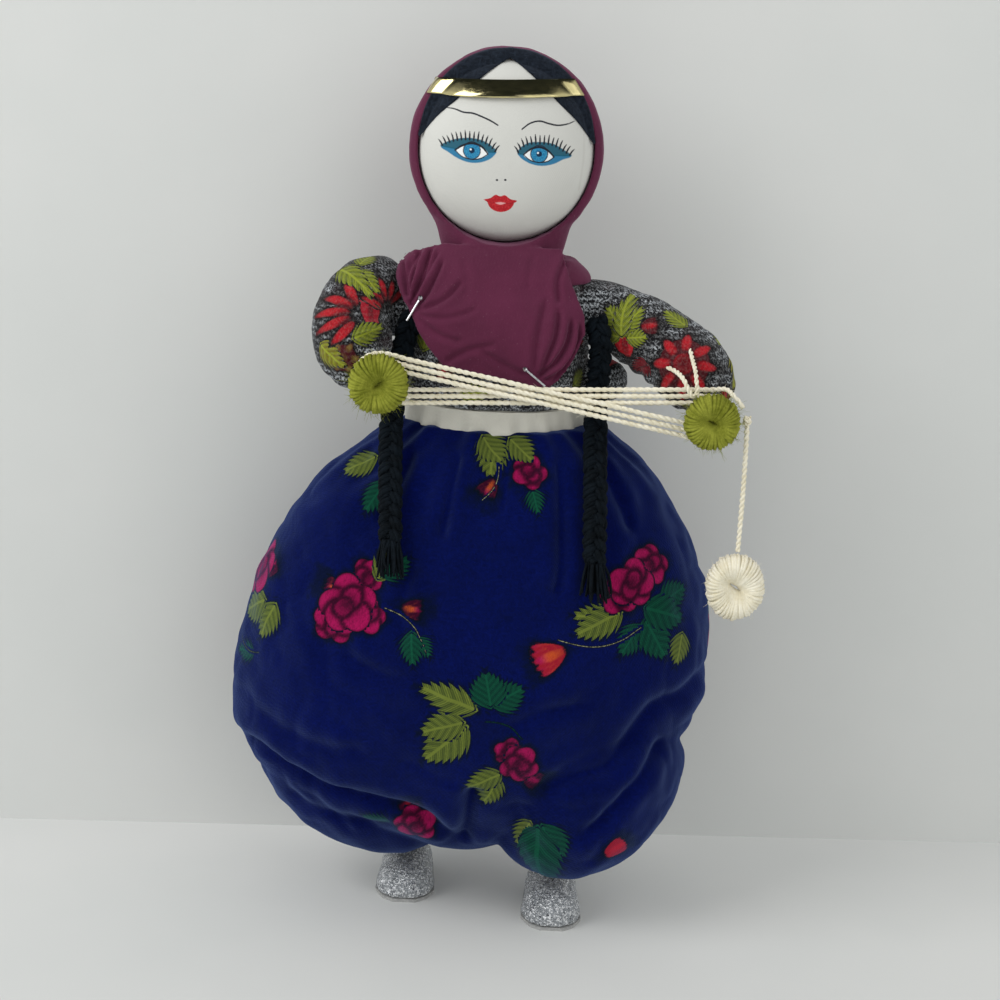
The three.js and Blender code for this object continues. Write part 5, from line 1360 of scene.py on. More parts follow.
def headscarf():
    cloth = plum_cotton()
    skirt = scarf_tower(np.linspace(288, 314, 20),
                        lambda h: between([288, 297, 303, 314], [24, 26.6, 28.2, 33], h),
                        lambda h: between([288, 299, 307, 314], [20.5, 18.8, 17.5, 15.5], h),
                        lambda h: between([288, 300, 314], [21, 23.5, 26], h))
    collar = scarf_tower(np.linspace(282, 292, 10), lambda h: scarf_reach(1, 14, h) - 0.6,
                         lambda h: scarf_reach(2, 5, h) - 0.4, lambda h: scarf_reach(2, 5, h) - 0.4)
    piece = new_piece("headscarf", *join([head_form(HOOD_GROWTH, 160), skirt, collar]), cloth)
    fuse(piece, 1.1, 2)
    points = points_of(piece)
    rim = smoothstep(points[:, 2], 303, 312)
    points[:, 1] = points[:, 1] * (1 - rim) - flat_rim(-points[:, 1]) * rim
    set_points(piece, points)
    turn = round_turn(120)
    disc = lambda y, grow: np.stack([(37.0 + grow) * np.cos(turn), np.full_like(turn, y),
                                     HEAD_HEIGHT + (38.5 + grow) * np.sin(turn)], 1)
    cut_away(piece, *closed_rings([disc(-45, 0.0), disc(-30, 0), disc(-14, 0), disc(-3, 0)]))
    cut_away(piece, *head_form(0.45, 160, -25.0))
    heights = np.linspace(270, 297, 16)
    cut_away(piece, *scarf_tower(heights, lambda h: torso_size(h, 1) + 1.4, lambda h: torso_size(h, 2) + 1.4,
                                 lambda h: torso_size(h, 2) + 1.4))
    bib = new_piece("bib", *bib_panel(), cloth)
    body = join([(points_of(piece), [list(p.vertices) for p in piece.data.polygons]),
                 (points_of(bib), [list(p.vertices) for p in bib.data.polygons])])
    for old in (piece, bib):
        bpy.data.objects.remove(old)
    piece = new_piece("headscarf", *body, cloth)
    fuse(piece, 0.8, 4)
    points, normals = points_of(piece), normals_of(piece)
    chest = smoothstep(points[:, 2], 300, 294)
    moved = 1.35 * press_folds(points, normals, BIB_FOLDS, True) * chest
    around_face = np.arctan2(points[:, 2] - HEAD_HEIGHT, points[:, 0])
    hood = smoothstep(points[:, 2], 292, 302)
    gather = np.sin(around_face * 26 + 2.5 * cloth_noise(points, 14, 31)) * smoothstep(points[:, 2], 330, 306)
    behind = smoothstep(points[:, 1], -4, 10)
    lumps = cloth_noise(points * np.array([1, 0.5, 1]), 12, 33)
    moved += hood * (0.4 * gather * (0.3 + 0.7 * behind) + 0.8 * lumps * behind)
    moved += (0.1 + 0.2 * behind) * cloth_noise(points, 7, 35) + chest * 0.3 * cloth_noise(points, 11, 37)
    set_points(piece, points + normals * moved[:, None])
    finish_piece(piece, None, "plum_cotton", "scarf_hood", "scarf_bib")
    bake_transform(piece)


headscarf()

# Blouse body and sleeves

SHOULDER_HEIGHT = 269.0
LEFT_WRIST = np.array([-47.5, -40, 245.0])
RIGHT_WRIST = np.array([88.8, -40, 235.5])
LEFT_ARM = [
    (-25, 0, 269), (-33, 0, 269), (-43, 0, 269), (-55, -6, 274.5), (-62, -18, 263), (-57.5, -29, 249.5),
    (-47.5, -40, 245), (-47.5, -50, 245),
]
RIGHT_ARM = [
    (25, 0, 269), (33, 0, 269), (43, 0, 269), (59, -6, 264), (76, -15, 255), (86.5, -26, 244),
    (88.8, -40, 235.5), (88.8, -50, 235.5),
]


def jersey():
    made, n, shader = material("printed jersey", 0.95, 0.12, (0.8, 0.8, 0.8), specular=0.12)
    place = n.place()
    fibres = n.group(FIBRES, Place=place, Size=900.0)
    split = n.add("ShaderNodeSeparateXYZ")
    bent = n.noise(place, 60.0, 2.0)
    n.put(split.inputs[0], place)
    around = n.math("ADD", split.outputs[0], n.times(split.outputs[1], 0.6))
    across = n.math("MULTIPLY_ADD", around, 3400.0, n.times(bent, 9.0))
    along = n.math("MULTIPLY_ADD", split.outputs[2], 2600.0, n.times(bent, 7.0))
    zigzag = n.math("ABSOLUTE", n.math("SINE", n.times(across, 0.5)))
    chevron = n.math("SINE", n.math("ADD", along, n.times(zigzag, 2.6)))
    flecks = n.math("MULTIPLY_ADD", n.noise(place, 1050.0, 3.0, 0.85), 2.2, n.times(chevron, 0.1))
    mask = n.ramp(flecks, 1.04, 1.36)
    patch = n.ramp(n.noise(place, 70.0, 3.0), 0.34, 0.62)
    pale = n.times(mask, n.math("MULTIPLY_ADD", patch, 0.75, 0.25))
    ground = n.mix(pale, srgb(22, 22, 25), srgb(184, 190, 196))
    stained = n.times(n.ramp(n.noise(place, 45.0, 3.0), 0.6, 0.72), 0.5)
    ground = n.mix(stained, ground, srgb(48, 22, 28))
    colour = printed_colour(n, ground, place, srgb(16, 12, 15), 0.85)
    colour = n.mix(n.times(mask, 0.07), colour, srgb(190, 186, 180))
    height = n.math("MULTIPLY_ADD", n.math("SINE", across), 0.2,
                    n.math("MULTIPLY_ADD", chevron, 0.3, fibres["Height"]))
    join_to(shader, n, colour, n.ramp(fibres["Height"], 0.3, 0.8, 1.0, 0.88), height, 0.5, 0.0003)
    return made


OLIVE = srgb(146, 156, 44)
MAROON = srgb(70, 16, 24)
BRIGHT_RED = srgb(178, 24, 36)
OLIVE_GREEN = (OLIVE, LEAF_SHADE)
SCARLET = (BRIGHT_RED, MAROON)
LEFT_PRINTS = [
    ("leaf", (-66, -12, 281), 20, 16, 4.8, *OLIVE_GREEN),
    ("leaf", (-60, -14, 284), 75, 10, 4, *OLIVE_GREEN),
    ("leaf", (-60, -17, 283), -30, 12, 4, *OLIVE_GREEN),
    ("fan", (-60, -26, 264), 160, 15, 4.5, *SCARLET),
    ("fan", (-46, -22, 269), 95, 12, 4, *SCARLET),
    ("leaf", (-72, -33, 256), -30, 13, 4.5, OLIVE, MAROON),
    ("star", (-63, -40, 252), 0, 6.5, 6, srgb(120, 100, 46), MAROON),
    ("leaf", (-60, -38, 260), 20, 12, 4, *OLIVE_GREEN),
    ("bud", (-52, -36, 262), 70, 10, 4, MAROON, BUD),
    ("leaf", (-70, 10, 270), 150, 14, 5, *OLIVE_GREEN),
    ("star", (-58, 16, 268), 0, 10, 8, *SCARLET),
    ("bud", (-72, 0, 258), 30, 12, 4.5, *SCARLET),
    ("leaf", (-60, 4, 252), 30, 14, 5, *OLIVE_GREEN),
]
RIGHT_PRINTS = [
    ("leaf", (53, -18, 262), 95, 15, 4, *OLIVE_GREEN),
    ("leaf", (52, -18, 266), 130, 10, 4, *OLIVE_GREEN),
    ("leaf", (54, -18, 265), 60, 10, 4, *OLIVE_GREEN),
    ("leaf", (51, -20, 262), 175, 9, 3.4, *OLIVE_GREEN),
    ("leaf", (54, -20, 262), 10, 9, 3.4, *OLIVE_GREEN),
    ("bud", (60, -20, 266), 20, 8, 4, *SCARLET),
    ("star", (78, -33, 254), 0, 12.5, 8, *SCARLET),
    ("star", (78, -33, 254), 0, 3.6, 8, srgb(214, 196, 190), BRIGHT_RED),
    ("leaf", (79, -22, 269), 120, 11, 4, *OLIVE_GREEN),
    ("leaf", (62, -30, 250), 220, 10, 3.6, MAROON, BUD),
    ("bud", (93, -34, 246), -60, 9, 4, *SCARLET),
    ("leaf", (97, -22, 256), -70, 12, 4, OLIVE, MAROON),
    ("bud", (50, -24, 250), 95, 10, 4.5, MAROON, BRIGHT_RED),
    ("leaf", (92, 2, 254), 30, 14, 5, *OLIVE_GREEN),
    ("star", (74, 8, 258), 0, 10, 8, *SCARLET),
    ("bud", (62, 14, 262), 150, 12, 4.5, *SCARLET),
    ("leaf", (60, 12, 268), 40, 12, 4.5, *OLIVE_GREEN),
]


def sleeve(name, route, wrist, node, body, prints, cloth, seed):
    path = smooth_path(route, 190)
    along = np.linspace(0, 1, 190)
    tangent, across, up = path_frames(path)
    wrist_at = along[np.argmin(np.linalg.norm(path - wrist, axis=1))]
    rise = smoothstep(along, 0.22, 0.42)
    taper = smoothstep(along, wrist_at - 0.24, wrist_at) ** 1.5
    radius = (14.0 + 2.0 * rise) * (1 - taper) + 3.5 * taper
    radius = radius * np.clip(along / 0.02, 0.3, 1) ** 0.4
    turn = round_turn(120)
    gather = smoothstep(along, wrist_at - 0.26, wrist_at - 0.02)[:, None]
    pleats = np.cos(11 * turn + seed)[None] * 0.07 * gather
    pleats = pleats + np.cos(23 * turn + 2 * seed)[None] * 0.03 * gather
    ring = ring_ways(across, up, turn)
    points = path[:, None] + ring * (radius[:, None] * (1 + pleats))[..., None]
    flat = points.reshape(-1, 3)
    way = ring.reshape(-1, 3)
    loose = smoothstep(along, 0.2, 0.35) * (1 - 0.6 * smoothstep(along, wrist_at - 0.1, wrist_at))
    loose = np.repeat(loose, 120)
    bend = np.gradient(tangent, axis=0)
    bend /= np.maximum(np.linalg.norm(bend, axis=1)[:, None], 1e-9)
    inner = np.clip((way * np.repeat(bend, 120, axis=0)).sum(1), 0, 1)
    creases = np.sin(np.repeat(along, 120) * 62 + 1.2 * cloth_noise(flat, 14, seed)) * inner
    moved = loose * (0.8 * cloth_noise(flat, 16, seed + 2) + 0.6 * creases
                     + 0.5 * (np.abs(cloth_noise(flat, 9, seed + 4)) - 0.3))
    flat = flat + way * moved[:, None]
    piece = new_piece(name, *closed_rings(flat.reshape(points.shape)), cloth)
    lay_prints(piece, prints, 0.1, 1.12)
    finish_piece(piece, body, "printed_jersey", node)
    return piece


def shoulder_socket(side):
    turn = round_turn(60)
    rings = []
    for x, radius in [(18.4, 0.4), (20, 7), (23, 11.6), (27, 14.3), (33, 15.4), (44, 15.4), (60, 15.4)]:
        rings.append(np.stack([np.full_like(turn, side * x), radius * np.cos(turn),
                               SHOULDER_HEIGHT + radius * np.sin(turn)], 1))
    return closed_rings(rings)


# Cloth that bunches under the right arm: middle, half sizes
UNDERARM_FOLD = ((46, 1, 240), (11, 12, 9.5))


def blouse(cloth):
    heights = np.concatenate([np.linspace(229.4, 231, 4), np.linspace(232, 290, 70)])
    turn = round_turn(200)
    rings = []
    for h in heights:
        hem = smoothstep(h, 229.2, 231)
        half, depth = torso_size(h, 1) + 0.6 + 0.9 * hem, torso_size(h, 2) + 0.6 + 0.9 * hem
        loose = 0.6 * np.cos(9 * turn + 0.1 * h) * smoothstep(h, 262, 235)
        rings.append(level_ring((half + loose) * np.cos(turn), (depth + loose) * np.sin(turn), h))
    ball_turn = round_turn(50)
    (fold_x, fold_y, fold_z), (half_x, half_y, half_z) = UNDERARM_FOLD
    fold = [level_ring(fold_x + half_x * math.sin(p) * np.cos(ball_turn),
                       fold_y + half_y * math.sin(p) * np.sin(ball_turn), fold_z - half_z * math.cos(p))
            for p in np.linspace(0.05, 0.95, 24) * np.pi]
    piece = new_piece("blouse_body", *join([closed_rings(rings), closed_rings(fold)]), cloth)
    fuse(piece, 0.95, 3)
    for side in (-1, 1):
        cut_away(piece, *shoulder_socket(side))
    points, normals = points_of(piece), normals_of(piece)
    away = np.hypot(points[:, 1], points[:, 2] - SHOULDER_HEIGHT)
    free = smoothstep(away, 16.5, 20) * smoothstep(points[:, 2], 229, 233)
    moved = free * (0.5 * cloth_noise(points, 12, 51) + 0.6 * (np.abs(cloth_noise(points, 9, 53)) - 0.3))
    set_points(piece, points + normals * moved[:, None])
    lay_prints(piece, [
        ("leaf", (-30, -16, 252), 80, 13, 4.5, *OLIVE_GREEN),
        ("bud", (-24, -22, 240), 60, 10, 4, *SCARLET),
        ("leaf", (-14, -26, 236), 10, 12, 4, *OLIVE_GREEN),
        ("bud", (42, -12, 246), 95, 12, 5, MAROON, BRIGHT_RED),
        ("leaf", (35, -18, 240), 30, 10, 4, *OLIVE_GREEN),
        ("star", (0, 29, 256), 0, 11, 8, *SCARLET),
        ("leaf", (-20, 26, 268), 140, 14, 5, *OLIVE_GREEN),
        ("leaf", (22, 26, 244), -30, 14, 5, *OLIVE_GREEN),
        ("bud", (-22, 27, 242), -60, 12, 4.5, *SCARLET),
        ("bud", (20, 26, 272), 60, 12, 4.5, *SCARLET),
    ], 0.05)
    finish_piece(piece, "torso", "printed_jersey", "blouse")


def stuffed_torso():
    heights = np.linspace(198, 297.0, 50)
    piece = new_piece("stuffed_torso", *scarf_tower(heights, lambda h: torso_size(h, 1) - 0.3,
                      lambda h: torso_size(h, 2) - 0.3, lambda h: torso_size(h, 2) - 0.3), WHITE_COTTON)
    for side in (-1, 1):
        cut_away(piece, *shoulder_socket(side))
    finish_piece(piece, "torso", "wadding", "torso_core")


JERSEY = jersey()
stuffed_torso()
blouse(JERSEY)
sleeve("sleeve_of_left_arm", LEFT_ARM, LEFT_WRIST, "sleeve_left", "left_arm", LEFT_PRINTS, JERSEY, 61)
sleeve("sleeve_of_right_arm", RIGHT_ARM, RIGHT_WRIST, "sleeve_right", "right_arm", RIGHT_PRINTS, JERSEY, 67)

# Pompom hands and the wound yarn

LEFT_HAND_RADIUS = 12.4
RIGHT_HAND_RADIUS = 11.5
HAND_FROM_WRIST = np.array([0, -17.35, 0])
WRIST_RADIUS = 3.6
YARN_GAP = 0.45
LAP_PITCH = 2.75


def pompom_hands():
    for name, wrist, radius, body, node, seed, turn in (
            ("pompom_of_left_hand", LEFT_WRIST, LEFT_HAND_RADIUS, "left_arm", "hand_left", 71, 0.7),
            ("pompom_of_right_hand", RIGHT_WRIST, RIGHT_HAND_RADIUS, "right_arm", "hand_right", 73, -0.4)):
        middle = wrist + HAND_FROM_WRIST
        wraps = wrapped_disc(middle, radius, radius, 7.2, seed, wraps=40, turn=turn, slit=0.3)
        hairs = stray_fibres(middle, np.array([radius, 6.8, radius]), 420, 3.2, seed + 1)
        piece = new_piece(name, *join([wraps, hairs]), LIME_WOOL)
        finish_piece(piece, body, "lime_yarn", node)


def wrist_loop(wrist, start_turn, end_turn, start_radius, end_radius, start_plane, end_plane):
    t = np.linspace(0, 1, 17)
    turn = np.pi * (start_turn + (end_turn - start_turn) * t)
    radius = start_radius + (end_radius - start_radius) * t
    plane = start_plane + (end_plane - start_plane) * t
    return np.stack([wrist[0] + radius * np.cos(turn), plane, wrist[2] + radius * np.sin(turn)], 1).tolist()


def winding_route():
    """The figure of eight: over the left wrist, under it, over the right, and off over the right hand."""
    back = -40 - 4.75 + LAP_PITCH / 2
    front = back - LAP_PITCH
    loop = lambda lap: WRIST_RADIUS + YARN_GAP + YARN_RADIUS + lap * LAP_PITCH
    route = []
    for lap in range(3):
        left, right = loop(2 - lap), loop(lap)
        start = np.array([RIGHT_WRIST[0], front, RIGHT_WRIST[2] - right])
        end = np.array([RIGHT_WRIST[0], back, RIGHT_WRIST[2] + right])
        turn = wrist_loop(LEFT_WRIST, 0.5, 1.5, left, left, front, back)
        spread = np.linspace(0, 1, 12)[1:-1, None]
        if lap == 0:
            route.append(start.tolist())
        route += (start + (np.array(turn[0]) - start) * spread).tolist()
        route += turn
        route += (np.array(turn[-1]) + (end - np.array(turn[-1])) * spread).tolist()
        if lap < 2:
            route += wrist_loop(RIGHT_WRIST, 0.5, -0.5, right, loop(lap + 1), back, front)
    hand = RIGHT_WRIST + HAND_FROM_WRIST
    reach = RIGHT_HAND_RADIUS + 0.5 + YARN_GAP + YARN_RADIUS
    route.append(end.tolist())
    for i, part in enumerate((0.36, 0.29, 0.22, 0.15)):
        y = back + (hand[1] + 1 - back) * min(1, (i + 1) / 2)
        route.append([hand[0] + reach * math.cos(math.pi * part), y,
                      hand[2] + reach * math.sin(math.pi * part)])
    return np.array(route)


TIE_ROUTE = [
    (79.5, -27.5, 262.5), (80.6, -34.5, 258.5), (82.2, -47.6, 250), (82.4, -48.6, 245.2),
    (81.2, -49.0, 244.0), (79.8, -48.4, 245.4), (77.4, -46.0, 249.8), (73.5, -38.0, 252.5),
    (71.0, -34.8, 253.0),
]


def wound_yarn():
    route = winding_route()
    path = smooth_path(route, 1500)
    run = length_along(path)
    sway = np.stack([run * 0, run * 0, run], 1)
    drift = np.stack([0 * run, lattice_noise(sway, 40, 81), lattice_noise(sway + 500, 30, 83)], 1)
    middle = smoothstep(path[:, 0], -30, 0) * smoothstep(path[:, 0], 70, 40)
    path = path + drift * middle[:, None] * np.array([0, 0.18, 0.22])
    points, faces = plied_yarn(path, 1.12, 6.0, sides=6, thickness=0.66, seed=3)
    rng = np.random.default_rng(84)
    hairs = []
    for i in rng.integers(10, len(path) - 10, 260):
        way = rng.normal(size=3)
        t = np.linspace(0, 1, 4)[:, None]
        reach = 0.8 + t * rng.uniform(0.8, 1.8)
        hair = path[i] + way / np.linalg.norm(way) * reach + (path[i + 3] - path[i]) * t
        hairs.append(tube(hair, np.linspace(0.07, 0.03, 4), 3))
    winding = new_piece("wound_yarn", *join([(points, faces)] + hairs), CREAM_YARN)
    finish_piece(winding, "right_arm", "cream_yarn", "yarn_winding")
    tie_path = smooth_path(TIE_ROUTE, 130)
    tie = new_piece("yarn_tie_on_sleeve", *plied_yarn(tie_path, 1.0, 5.0, sides=6, seed=5), CREAM_YARN)
    finish_piece(tie, "right_arm", "cream_yarn", "yarn_tie")
    t = np.linspace(0, 2 * np.pi * 1.7, 60)
    knot = np.stack([HITCH[0] + 1.15 * np.cos(t) - 0.1, HITCH[1] + 1.0 * np.sin(t),
                     HITCH[2] + 1.3 - t * 0.24], 1)
    core = smooth_path([HITCH + (-1.2, 0.2, 1.6), HITCH + (0.9, -0.9, 0.2), HITCH + (0, 0, -1.9)], 24)
    hitch = new_piece("half_hitch", *join([plied_yarn(knot, 0.85, 4.0, sides=6, seed=6),
                                           plied_yarn(core, 0.85, 4.0, sides=6, seed=7)]), CREAM_YARN)
    finish_piece(hitch, "hitch", "cream_yarn", "yarn_hitch")


pompom_hands()
wound_yarn()

# Braids

BRAID_TOPS = {
    "left": [(-36, -17.5, 268), (-38.2, -19.6, 261), (-40.5, -20, 249),
             (-43, -17.5, 237), (-43.4, -20.5, 227), (-43.4, -23.5, 222.5)],
    "right": [(40.5, -19.0, 269), (42.9, -20.6, 262), (43.4, -20.5, 250),
              (43, -17.8, 238), (43, -20.5, 227), (43, -23.5, 222.5)],
}
BRAID_BOTTOMS = {"left": (-41, 178), "right": (44.5, 172)}
BRAID_RADIUS, BRAID_PITCH = 5.2, 15.5
YARNS_IN_STRAND = 5


def trousers_front(x, height):
    left, right, front = [between(TROUSERS[:, 0], TROUSERS[:, k], height) for k in (1, 2, 3)]
    across = np.minimum(np.abs((2 * x - left - right) / (right - left)), 1)
    return -front * (1 - across ** 2.25) ** (1 / 2.25)


def plait(path, seed):
    """Three strands crossing over one another, each a bundle of yarns."""
    path = np.asarray(path, float)
    run = length_along(path)
    side = np.cross(np.gradient(path, axis=0), [0, -1.0, 0])
    side /= np.linalg.norm(side, axis=1)[:, None]
    out = np.cross(side, np.gradient(path, axis=0))
    out /= np.linalg.norm(out, axis=1)[:, None]
    out *= np.where(out[:, 1:2] > 0, -1, 1)
    parts = []
    for strand in range(3):
        turn = 2 * np.pi * (run / BRAID_PITCH + strand / 3)
        centre = (path + side * (np.sin(turn) * BRAID_RADIUS * 0.56)[:, None]
                  + out * (np.sin(2 * turn) * BRAID_RADIUS * 0.3)[:, None])
        _, first, second = path_frames(centre)
        for yarn in range(YARNS_IN_STRAND):
            twist = 2 * np.pi * (run / (BRAID_PITCH * 0.8) + yarn / YARNS_IN_STRAND)
            ring = first * np.cos(twist)[:, None] + second * np.sin(twist)[:, None]
            own_row = np.stack([run, run * 0, run * 0 + yarn + 5 * strand + seed], 1)
            wobble = 1 + 0.15 * lattice_noise(own_row, 6, seed)
            own_path = centre + ring * (BRAID_RADIUS * 0.25 * wobble)[:, None]
            parts.append(tube(own_path, BRAID_RADIUS * 0.225, 5))
    return parts


def loose_end(start, ahead, radius, length, count, seed):
    """Yarn ends that spread below the last crossing."""
    rng = np.random.default_rng(seed)
    parts = []
    ahead = ahead / np.linalg.norm(ahead)
    for _ in range(count):
        angle, reach = rng.uniform(0, 6.28), radius * math.sqrt(rng.uniform(0.02, 1))
        offset = np.array([math.cos(angle) * reach, math.sin(angle) * reach * 0.75, 0])
        fan = rng.uniform(0.9, 1.35)
        size = length * rng.uniform(0.8, 1.05)
        bow = rng.normal(size=3) * 0.8
        t = np.linspace(0, 1, 9)[:, None]
        path = start + offset * (0.62 + (fan - 0.62) * t) + ahead * size * t + bow * np.sin(np.pi * t)
        parts.append(tube(path, np.linspace(0.75, 0.5, 9), 5))
    return parts


def braids():
    for side in ("left", "right"):
        sign = -1 if side == "left" else 1
        top = smooth_path(BRAID_TOPS[side], 90)
        piece = new_piece(side + "_braid_at_shoulder", *join(plait(top, 91 + sign)), BLACK_WOOL)
        finish_piece(piece, "torso", "black_yarn", "braid_top_" + side)
        hinge = np.array([BRAID_TOPS[side][-2][0], -26.4, 221])
        end_x, end_z = BRAID_BOTTOMS[side]
        route = [hinge + (0, 1.2, 2.6), hinge]
        for part in (0.25, 0.4375, 0.625, 0.8125, 1.0):
            height = hinge[2] + (end_z - hinge[2]) * part
            x = hinge[0] + (end_x - hinge[0]) * part
            sideways = trousers_front(x + 1, height) - trousers_front(x - 1, height)
            upwards = trousers_front(x, height + 1) - trousers_front(x, height - 1)
            stand_off = 6.0 * math.sqrt(1 + (sideways / 2) ** 2 + (upwards / 2) ** 2)
            route.append(np.array([x, trousers_front(x, height) - stand_off, height]))
        path = smooth_path(route, 110)
        piece = new_piece(side + "_braid", *join(plait(path, 95 + sign)), BLACK_WOOL)
        finish_piece(piece, side + "_braid", "black_yarn", "braid_" + side)
        ahead = path[-1] - path[-6]
        tail = new_piece(side + "_braid_loose_end",
                         *join(loose_end(path[-1], ahead, 5.6, 15.5, 34, 97 + sign)), BLACK_WOOL)
        finish_piece(tail, side + "_braid", "black_yarn", "braid_end_" + side)


braids()

# Underskirt, threads, pins

def underskirt():
    turn = round_turn(420)
    heights = np.linspace(219.6, 229.2, 16)
    fold = np.sin(17 * turn + 1.4 * np.sin(3 * turn)) + 0.5 * np.sin(31 * turn + 1)
    outer, inner = [], []
    for h in heights:
        flare = smoothstep(h, 229, 220)
        reach = 1.0 + 1.0 * flare + (0.4 + 1.1 * flare) * (0.5 + 0.5 * fold)
        edge = 0.8 * np.sin(5 * turn + 1) * (1 - smoothstep(h, 219.6, 224))
        for rings, inset in ((outer, 0), (inner, 0.5)):
            half, depth = torso_size(h, 1) + reach - inset, torso_size(h, 2) + reach - inset
            rings.append(np.stack([half * np.cos(turn), depth * np.sin(turn), h + edge], 1))
    points = np.concatenate([np.concatenate(outer), np.concatenate(inner[::-1])])
    faces = grid_faces(2 * len(heights), 420, wrap_rows=True)
    piece = new_piece("underskirt_ruffle", points, faces, WHITE_COTTON)
    finish_piece(piece, "torso", "white_cotton", "underskirt")


def thread_ring(name, middle, half_x, half_y, radius, node):
    t = np.linspace(0, 2 * np.pi, 200)
    path = level_ring(middle[0] + half_x * np.cos(t), middle[1] + half_y * np.sin(t), middle[2])
    piece = new_piece(name, *plied_yarn(path, radius, 3.2, sides=6), THREAD)
    finish_piece(piece, "torso", "cream_thread", node)


def steel():
    made, n, shader = material("pin steel", 0.22, metallic=1.0, specular=0.5)
    place = n.place()
    colour = n.mix(n.ramp(n.noise(place, 900.0), 0.3, 0.7), srgb(205, 206, 210), srgb(170, 170, 172))
    roughness = n.ramp(n.noise(place, 1500.0), 0.3, 0.8, 0.15, 0.35)
    join_to(shader, n, colour, roughness, n.noise(place, 2500.0), 0.1, 0.00005)
    return made


underskirt()
WAIST = 219.05
thread_ring("waist_gathering_thread", (0, 0, WAIST), torso_size(WAIST, 1) + 1.4, torso_size(WAIST, 2) + 1.4,
            0.6, "waist_thread")
for cuff_side, ankle in (("left", LEFT_ANKLE), ("right", RIGHT_ANKLE)):
    thread_ring(cuff_side + "_cuff_thread", (*ankle, 21.35), 10.0, 10.0, 0.6, "cuff_thread_" + cuff_side)

# Legs and shoes

# Each row: how far back from the toe, half width, height
SHOE = np.array([[0, 4.5, 5], [0.07, 9, 9.5], [0.24, 12.9, 13.5], [0.46, 12.7, 15],
                 [0.6, 12, 18], [0.84, 11.3, 18.5], [0.95, 9, 17], [1, 5.5, 14]])
TOES = {"left": (-31.5, -22), "right": (35, -44)}
LEG_TOP = 118.0
SHOE_LENGTH = 47
ANKLE_FROM_TOE = 33


def glitter():
    made, n, shader = material("silver glitter", 0.4, metallic=0.6, specular=0.5)
    place = n.place()
    flakes = n.add("ShaderNodeTexVoronoi", feature="F1")
    n.put(flakes.inputs["Vector"], place)
    flakes.inputs["Scale"].default_value = 1500.0
    tone = n.add("ShaderNodeSeparateXYZ")
    n.put(tone.inputs[0], flakes.outputs["Color"])
    bright = n.ramp(tone.outputs[0], 0.45, 0.95)
    colour = n.mix(bright, srgb(160, 164, 168), srgb(244, 246, 248))
    colour = n.mix(n.ramp(tone.outputs[1], 0.9, 0.97), colour, srgb(104, 106, 112))
    tilt = n.math("MULTIPLY_ADD", tone.outputs[0], 0.6, flakes.outputs["Distance"])
    join_to(shader, n, colour, n.ramp(tone.outputs[2], 0.0, 1.0, 0.15, 0.75), tilt, 0.8, 0.0006)
    return made


def sole_card():
    made, n, shader = material("grey sole card", 0.9, specular=0.2)
    place = n.place()
    grain = n.noise(place, 900.0, 4.0)
    colour = n.mix(n.ramp(grain, 0.3, 0.7), srgb(150, 151, 151), srgb(174, 174, 172))
    join_to(shader, n, colour, n.ramp(grain, 0.3, 0.8, 0.95, 0.8), grain, 0.3, 0.0002)
    return made


def coat_solid(node, finish):
    """A solid that stays as it is, in a better finish."""
    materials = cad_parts[node].data.materials
    materials.clear()
    materials.append(finish)


def leg_path(toe):
    """Up from the ankle, then inwards to the top of the leg."""
    ankle = (toe[0], toe[1] + ANKLE_FROM_TOE)
    return smooth_path([(*ankle, 6.4), (*ankle, 59), (0.9 * ankle[0], 0, LEG_TOP)], 60)


def shoes_and_legs():
    silver, card = glitter(), sole_card()
    for side, toe in TOES.items():
        path = leg_path(toe)
        along = np.linspace(0, 1, 60)
        radius = 8.6 + 2.4 * np.sin(np.pi * np.clip(along - 0.1, 0, 1)) ** 2
        leg = new_piece("stuffed_" + side + "_leg", *tube(path, radius - 0.05, 48), WHITE_COTTON)
        finish_piece(leg, "torso", "wadding", "leg_" + side)
        t = np.linspace(0, 1, 70)
        turn = round_turn(72)
        rings = []
        for part in t:
            width, height = between(SHOE[:, 0], SHOE[:, 1], part), between(SHOE[:, 0], SHOE[:, 2], part)
            lift = np.maximum(0, np.sin(turn)) ** 0.8
            rings.append(np.stack([toe[0] + width * np.cos(turn) * (1 - 0.06 * lift),
                                   np.full_like(turn, toe[1] + part * SHOE_LENGTH), 1.75 + height * lift], 1))
        shoe = new_piece(side + "_glitter_shoe", *closed_rings(rings), silver)
        fuse(shoe, 0.7, 5)
        around = round_turn(48)
        hole = [level_ring(toe[0] + r * np.cos(around), toe[1] + ANKLE_FROM_TOE + r * np.sin(around), z)
                for z, r in ((5.6, 8.9), (10, 9.0), (40, 9.0))]
        cut_away(shoe, *closed_rings(hole))
        points, normals = points_of(shoe), normals_of(shoe)
        above = smoothstep(points[:, 2], 2.2, 4)
        set_points(shoe, points + normals * (above * 0.12 * cloth_noise(points, 2.2, 101))[:, None])
        finish_piece(shoe, "torso", "silver_glitter", "shoe_" + side)
        coat_solid("sole_" + side, card)
    pin_steel = steel()
    for pin in ("scarf_pin_left", "scarf_pin_lower"):
        coat_solid(pin, pin_steel)


shoes_and_legs()

# Floor, backdrop and lights

def pale_paint():
    made, n, shader = material("pale paint", 0.85, specular=0.2)
    place = n.place()
    colour = n.mix(n.ramp(n.noise(place, 6.0, 3.0), 0.3, 0.7), srgb(213, 215, 213), srgb(218, 219, 217))
    join_to(shader, n, colour, None, n.noise(place, 300.0, 3.0), 0.05, 0.0004)
    return made, n, shader


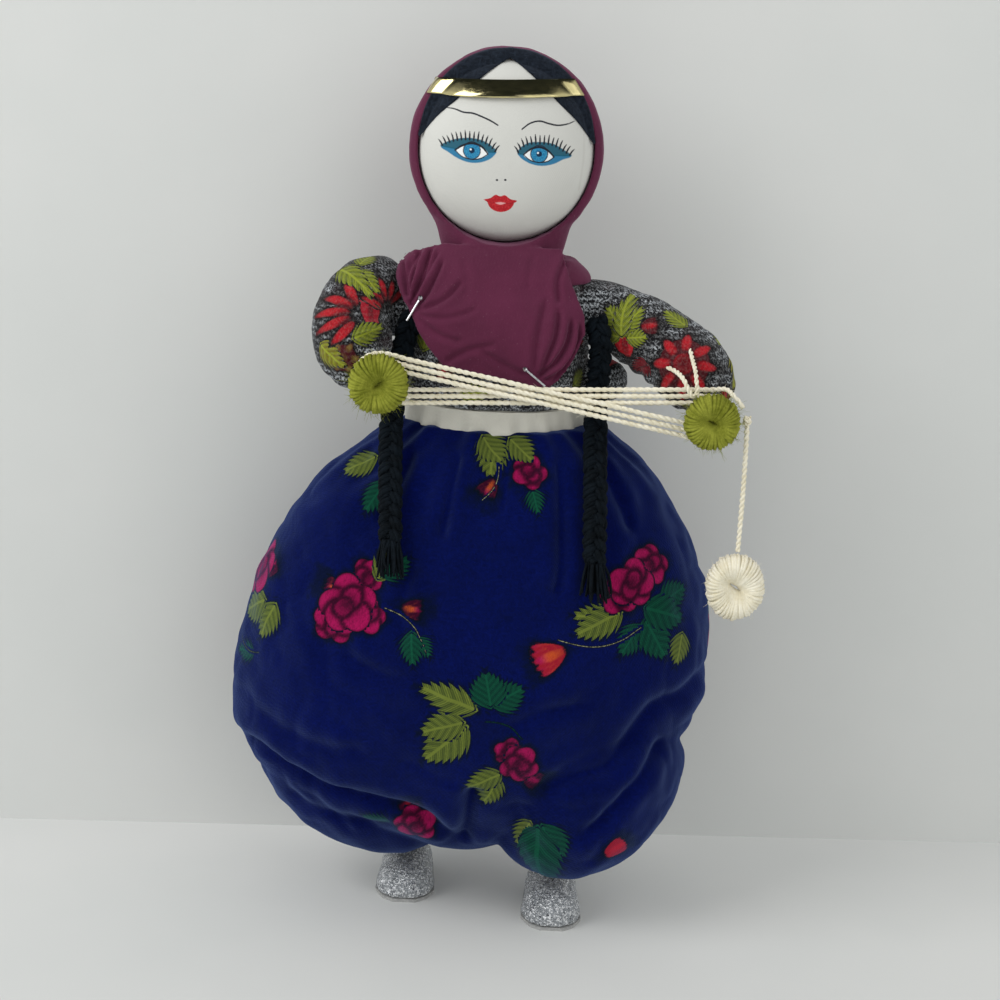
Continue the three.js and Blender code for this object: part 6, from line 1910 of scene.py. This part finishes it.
def stage():
    """A floor, and a wall that shows only from the front, so that views from behind show the doll's back."""
    reach = 1500
    corners = [(-reach, -reach, 0), (reach, -reach, 0), (reach, reach, 0), (-reach, reach, 0)]
    floor = new_piece("floor", corners, [[0, 1, 2, 3]], pale_paint()[0])
    made, n, shader = pale_paint()
    seen = n.add("ShaderNodeLightPath").outputs["Is Camera Ray"]
    behind = n.add("ShaderNodeNewGeometry").outputs["Backfacing"]
    either = n.add("ShaderNodeMixShader")
    n.put(either.inputs[0], n.times(seen, n.math("SUBTRACT", 1.0, behind)))
    n.put(either.inputs[1], n.add("ShaderNodeBsdfTransparent").outputs[0])
    n.put(either.inputs[2], shader.outputs[0])
    n.put(made.node_tree.nodes["Material Output"].inputs["Surface"], either.outputs[0])
    wall = new_piece("wall", [(-reach, -13, 0), (reach, 137, 0), (reach, 137, reach), (-reach, -13, reach)],
                     [[0, 1, 2, 3]], made)
    wall.data.flip_normals()


def area_light(name, place, aim, size, power):
    data = bpy.data.lights.new(name, "AREA")
    data.shape = "RECTANGLE"
    data.size = data.size_y = size
    data.energy = power
    light = bpy.data.objects.new(name, data)
    bpy.context.scene.collection.objects.link(light)
    start, end = Vector(in_frame(place)), Vector(in_frame(aim))
    light.location = start
    light.rotation_euler = (end - start).to_track_quat("-Z", "Y").to_euler()


def light_scene():
    area_light("window", (-1150, -620, 1050), (0, 0, 200), 1.0, 11.9)
    area_light("fill", (800, -900, 700), (0, 0, 180), 1.2, 3.3)
    world = bpy.data.worlds.new("room")
    world.use_nodes = True
    n = Nodes(world.node_tree)
    height = n.add("ShaderNodeSeparateXYZ")
    n.put(height.inputs[0], n.place())
    ahead = n.times(n.ramp(height.outputs[2], 0.28, 0.5),
                   n.ramp(n.math("ABSOLUTE", height.outputs[0]), 0.8, 0.6))
    mirrored = n.times(n.add("ShaderNodeLightPath").outputs["Is Glossy Ray"], ahead)
    room = n.mix(mirrored, (0.97, 0.98, 0.97, 1), (0.03, 0.035, 0.035, 1))
    background = world.node_tree.nodes["Background"]
    n.put(background.inputs["Color"], room)
    background.inputs["Strength"].default_value = 0.66
    bpy.context.scene.world = world
    bpy.context.scene.view_settings.view_transform = "Standard"


stage()
light_scene()
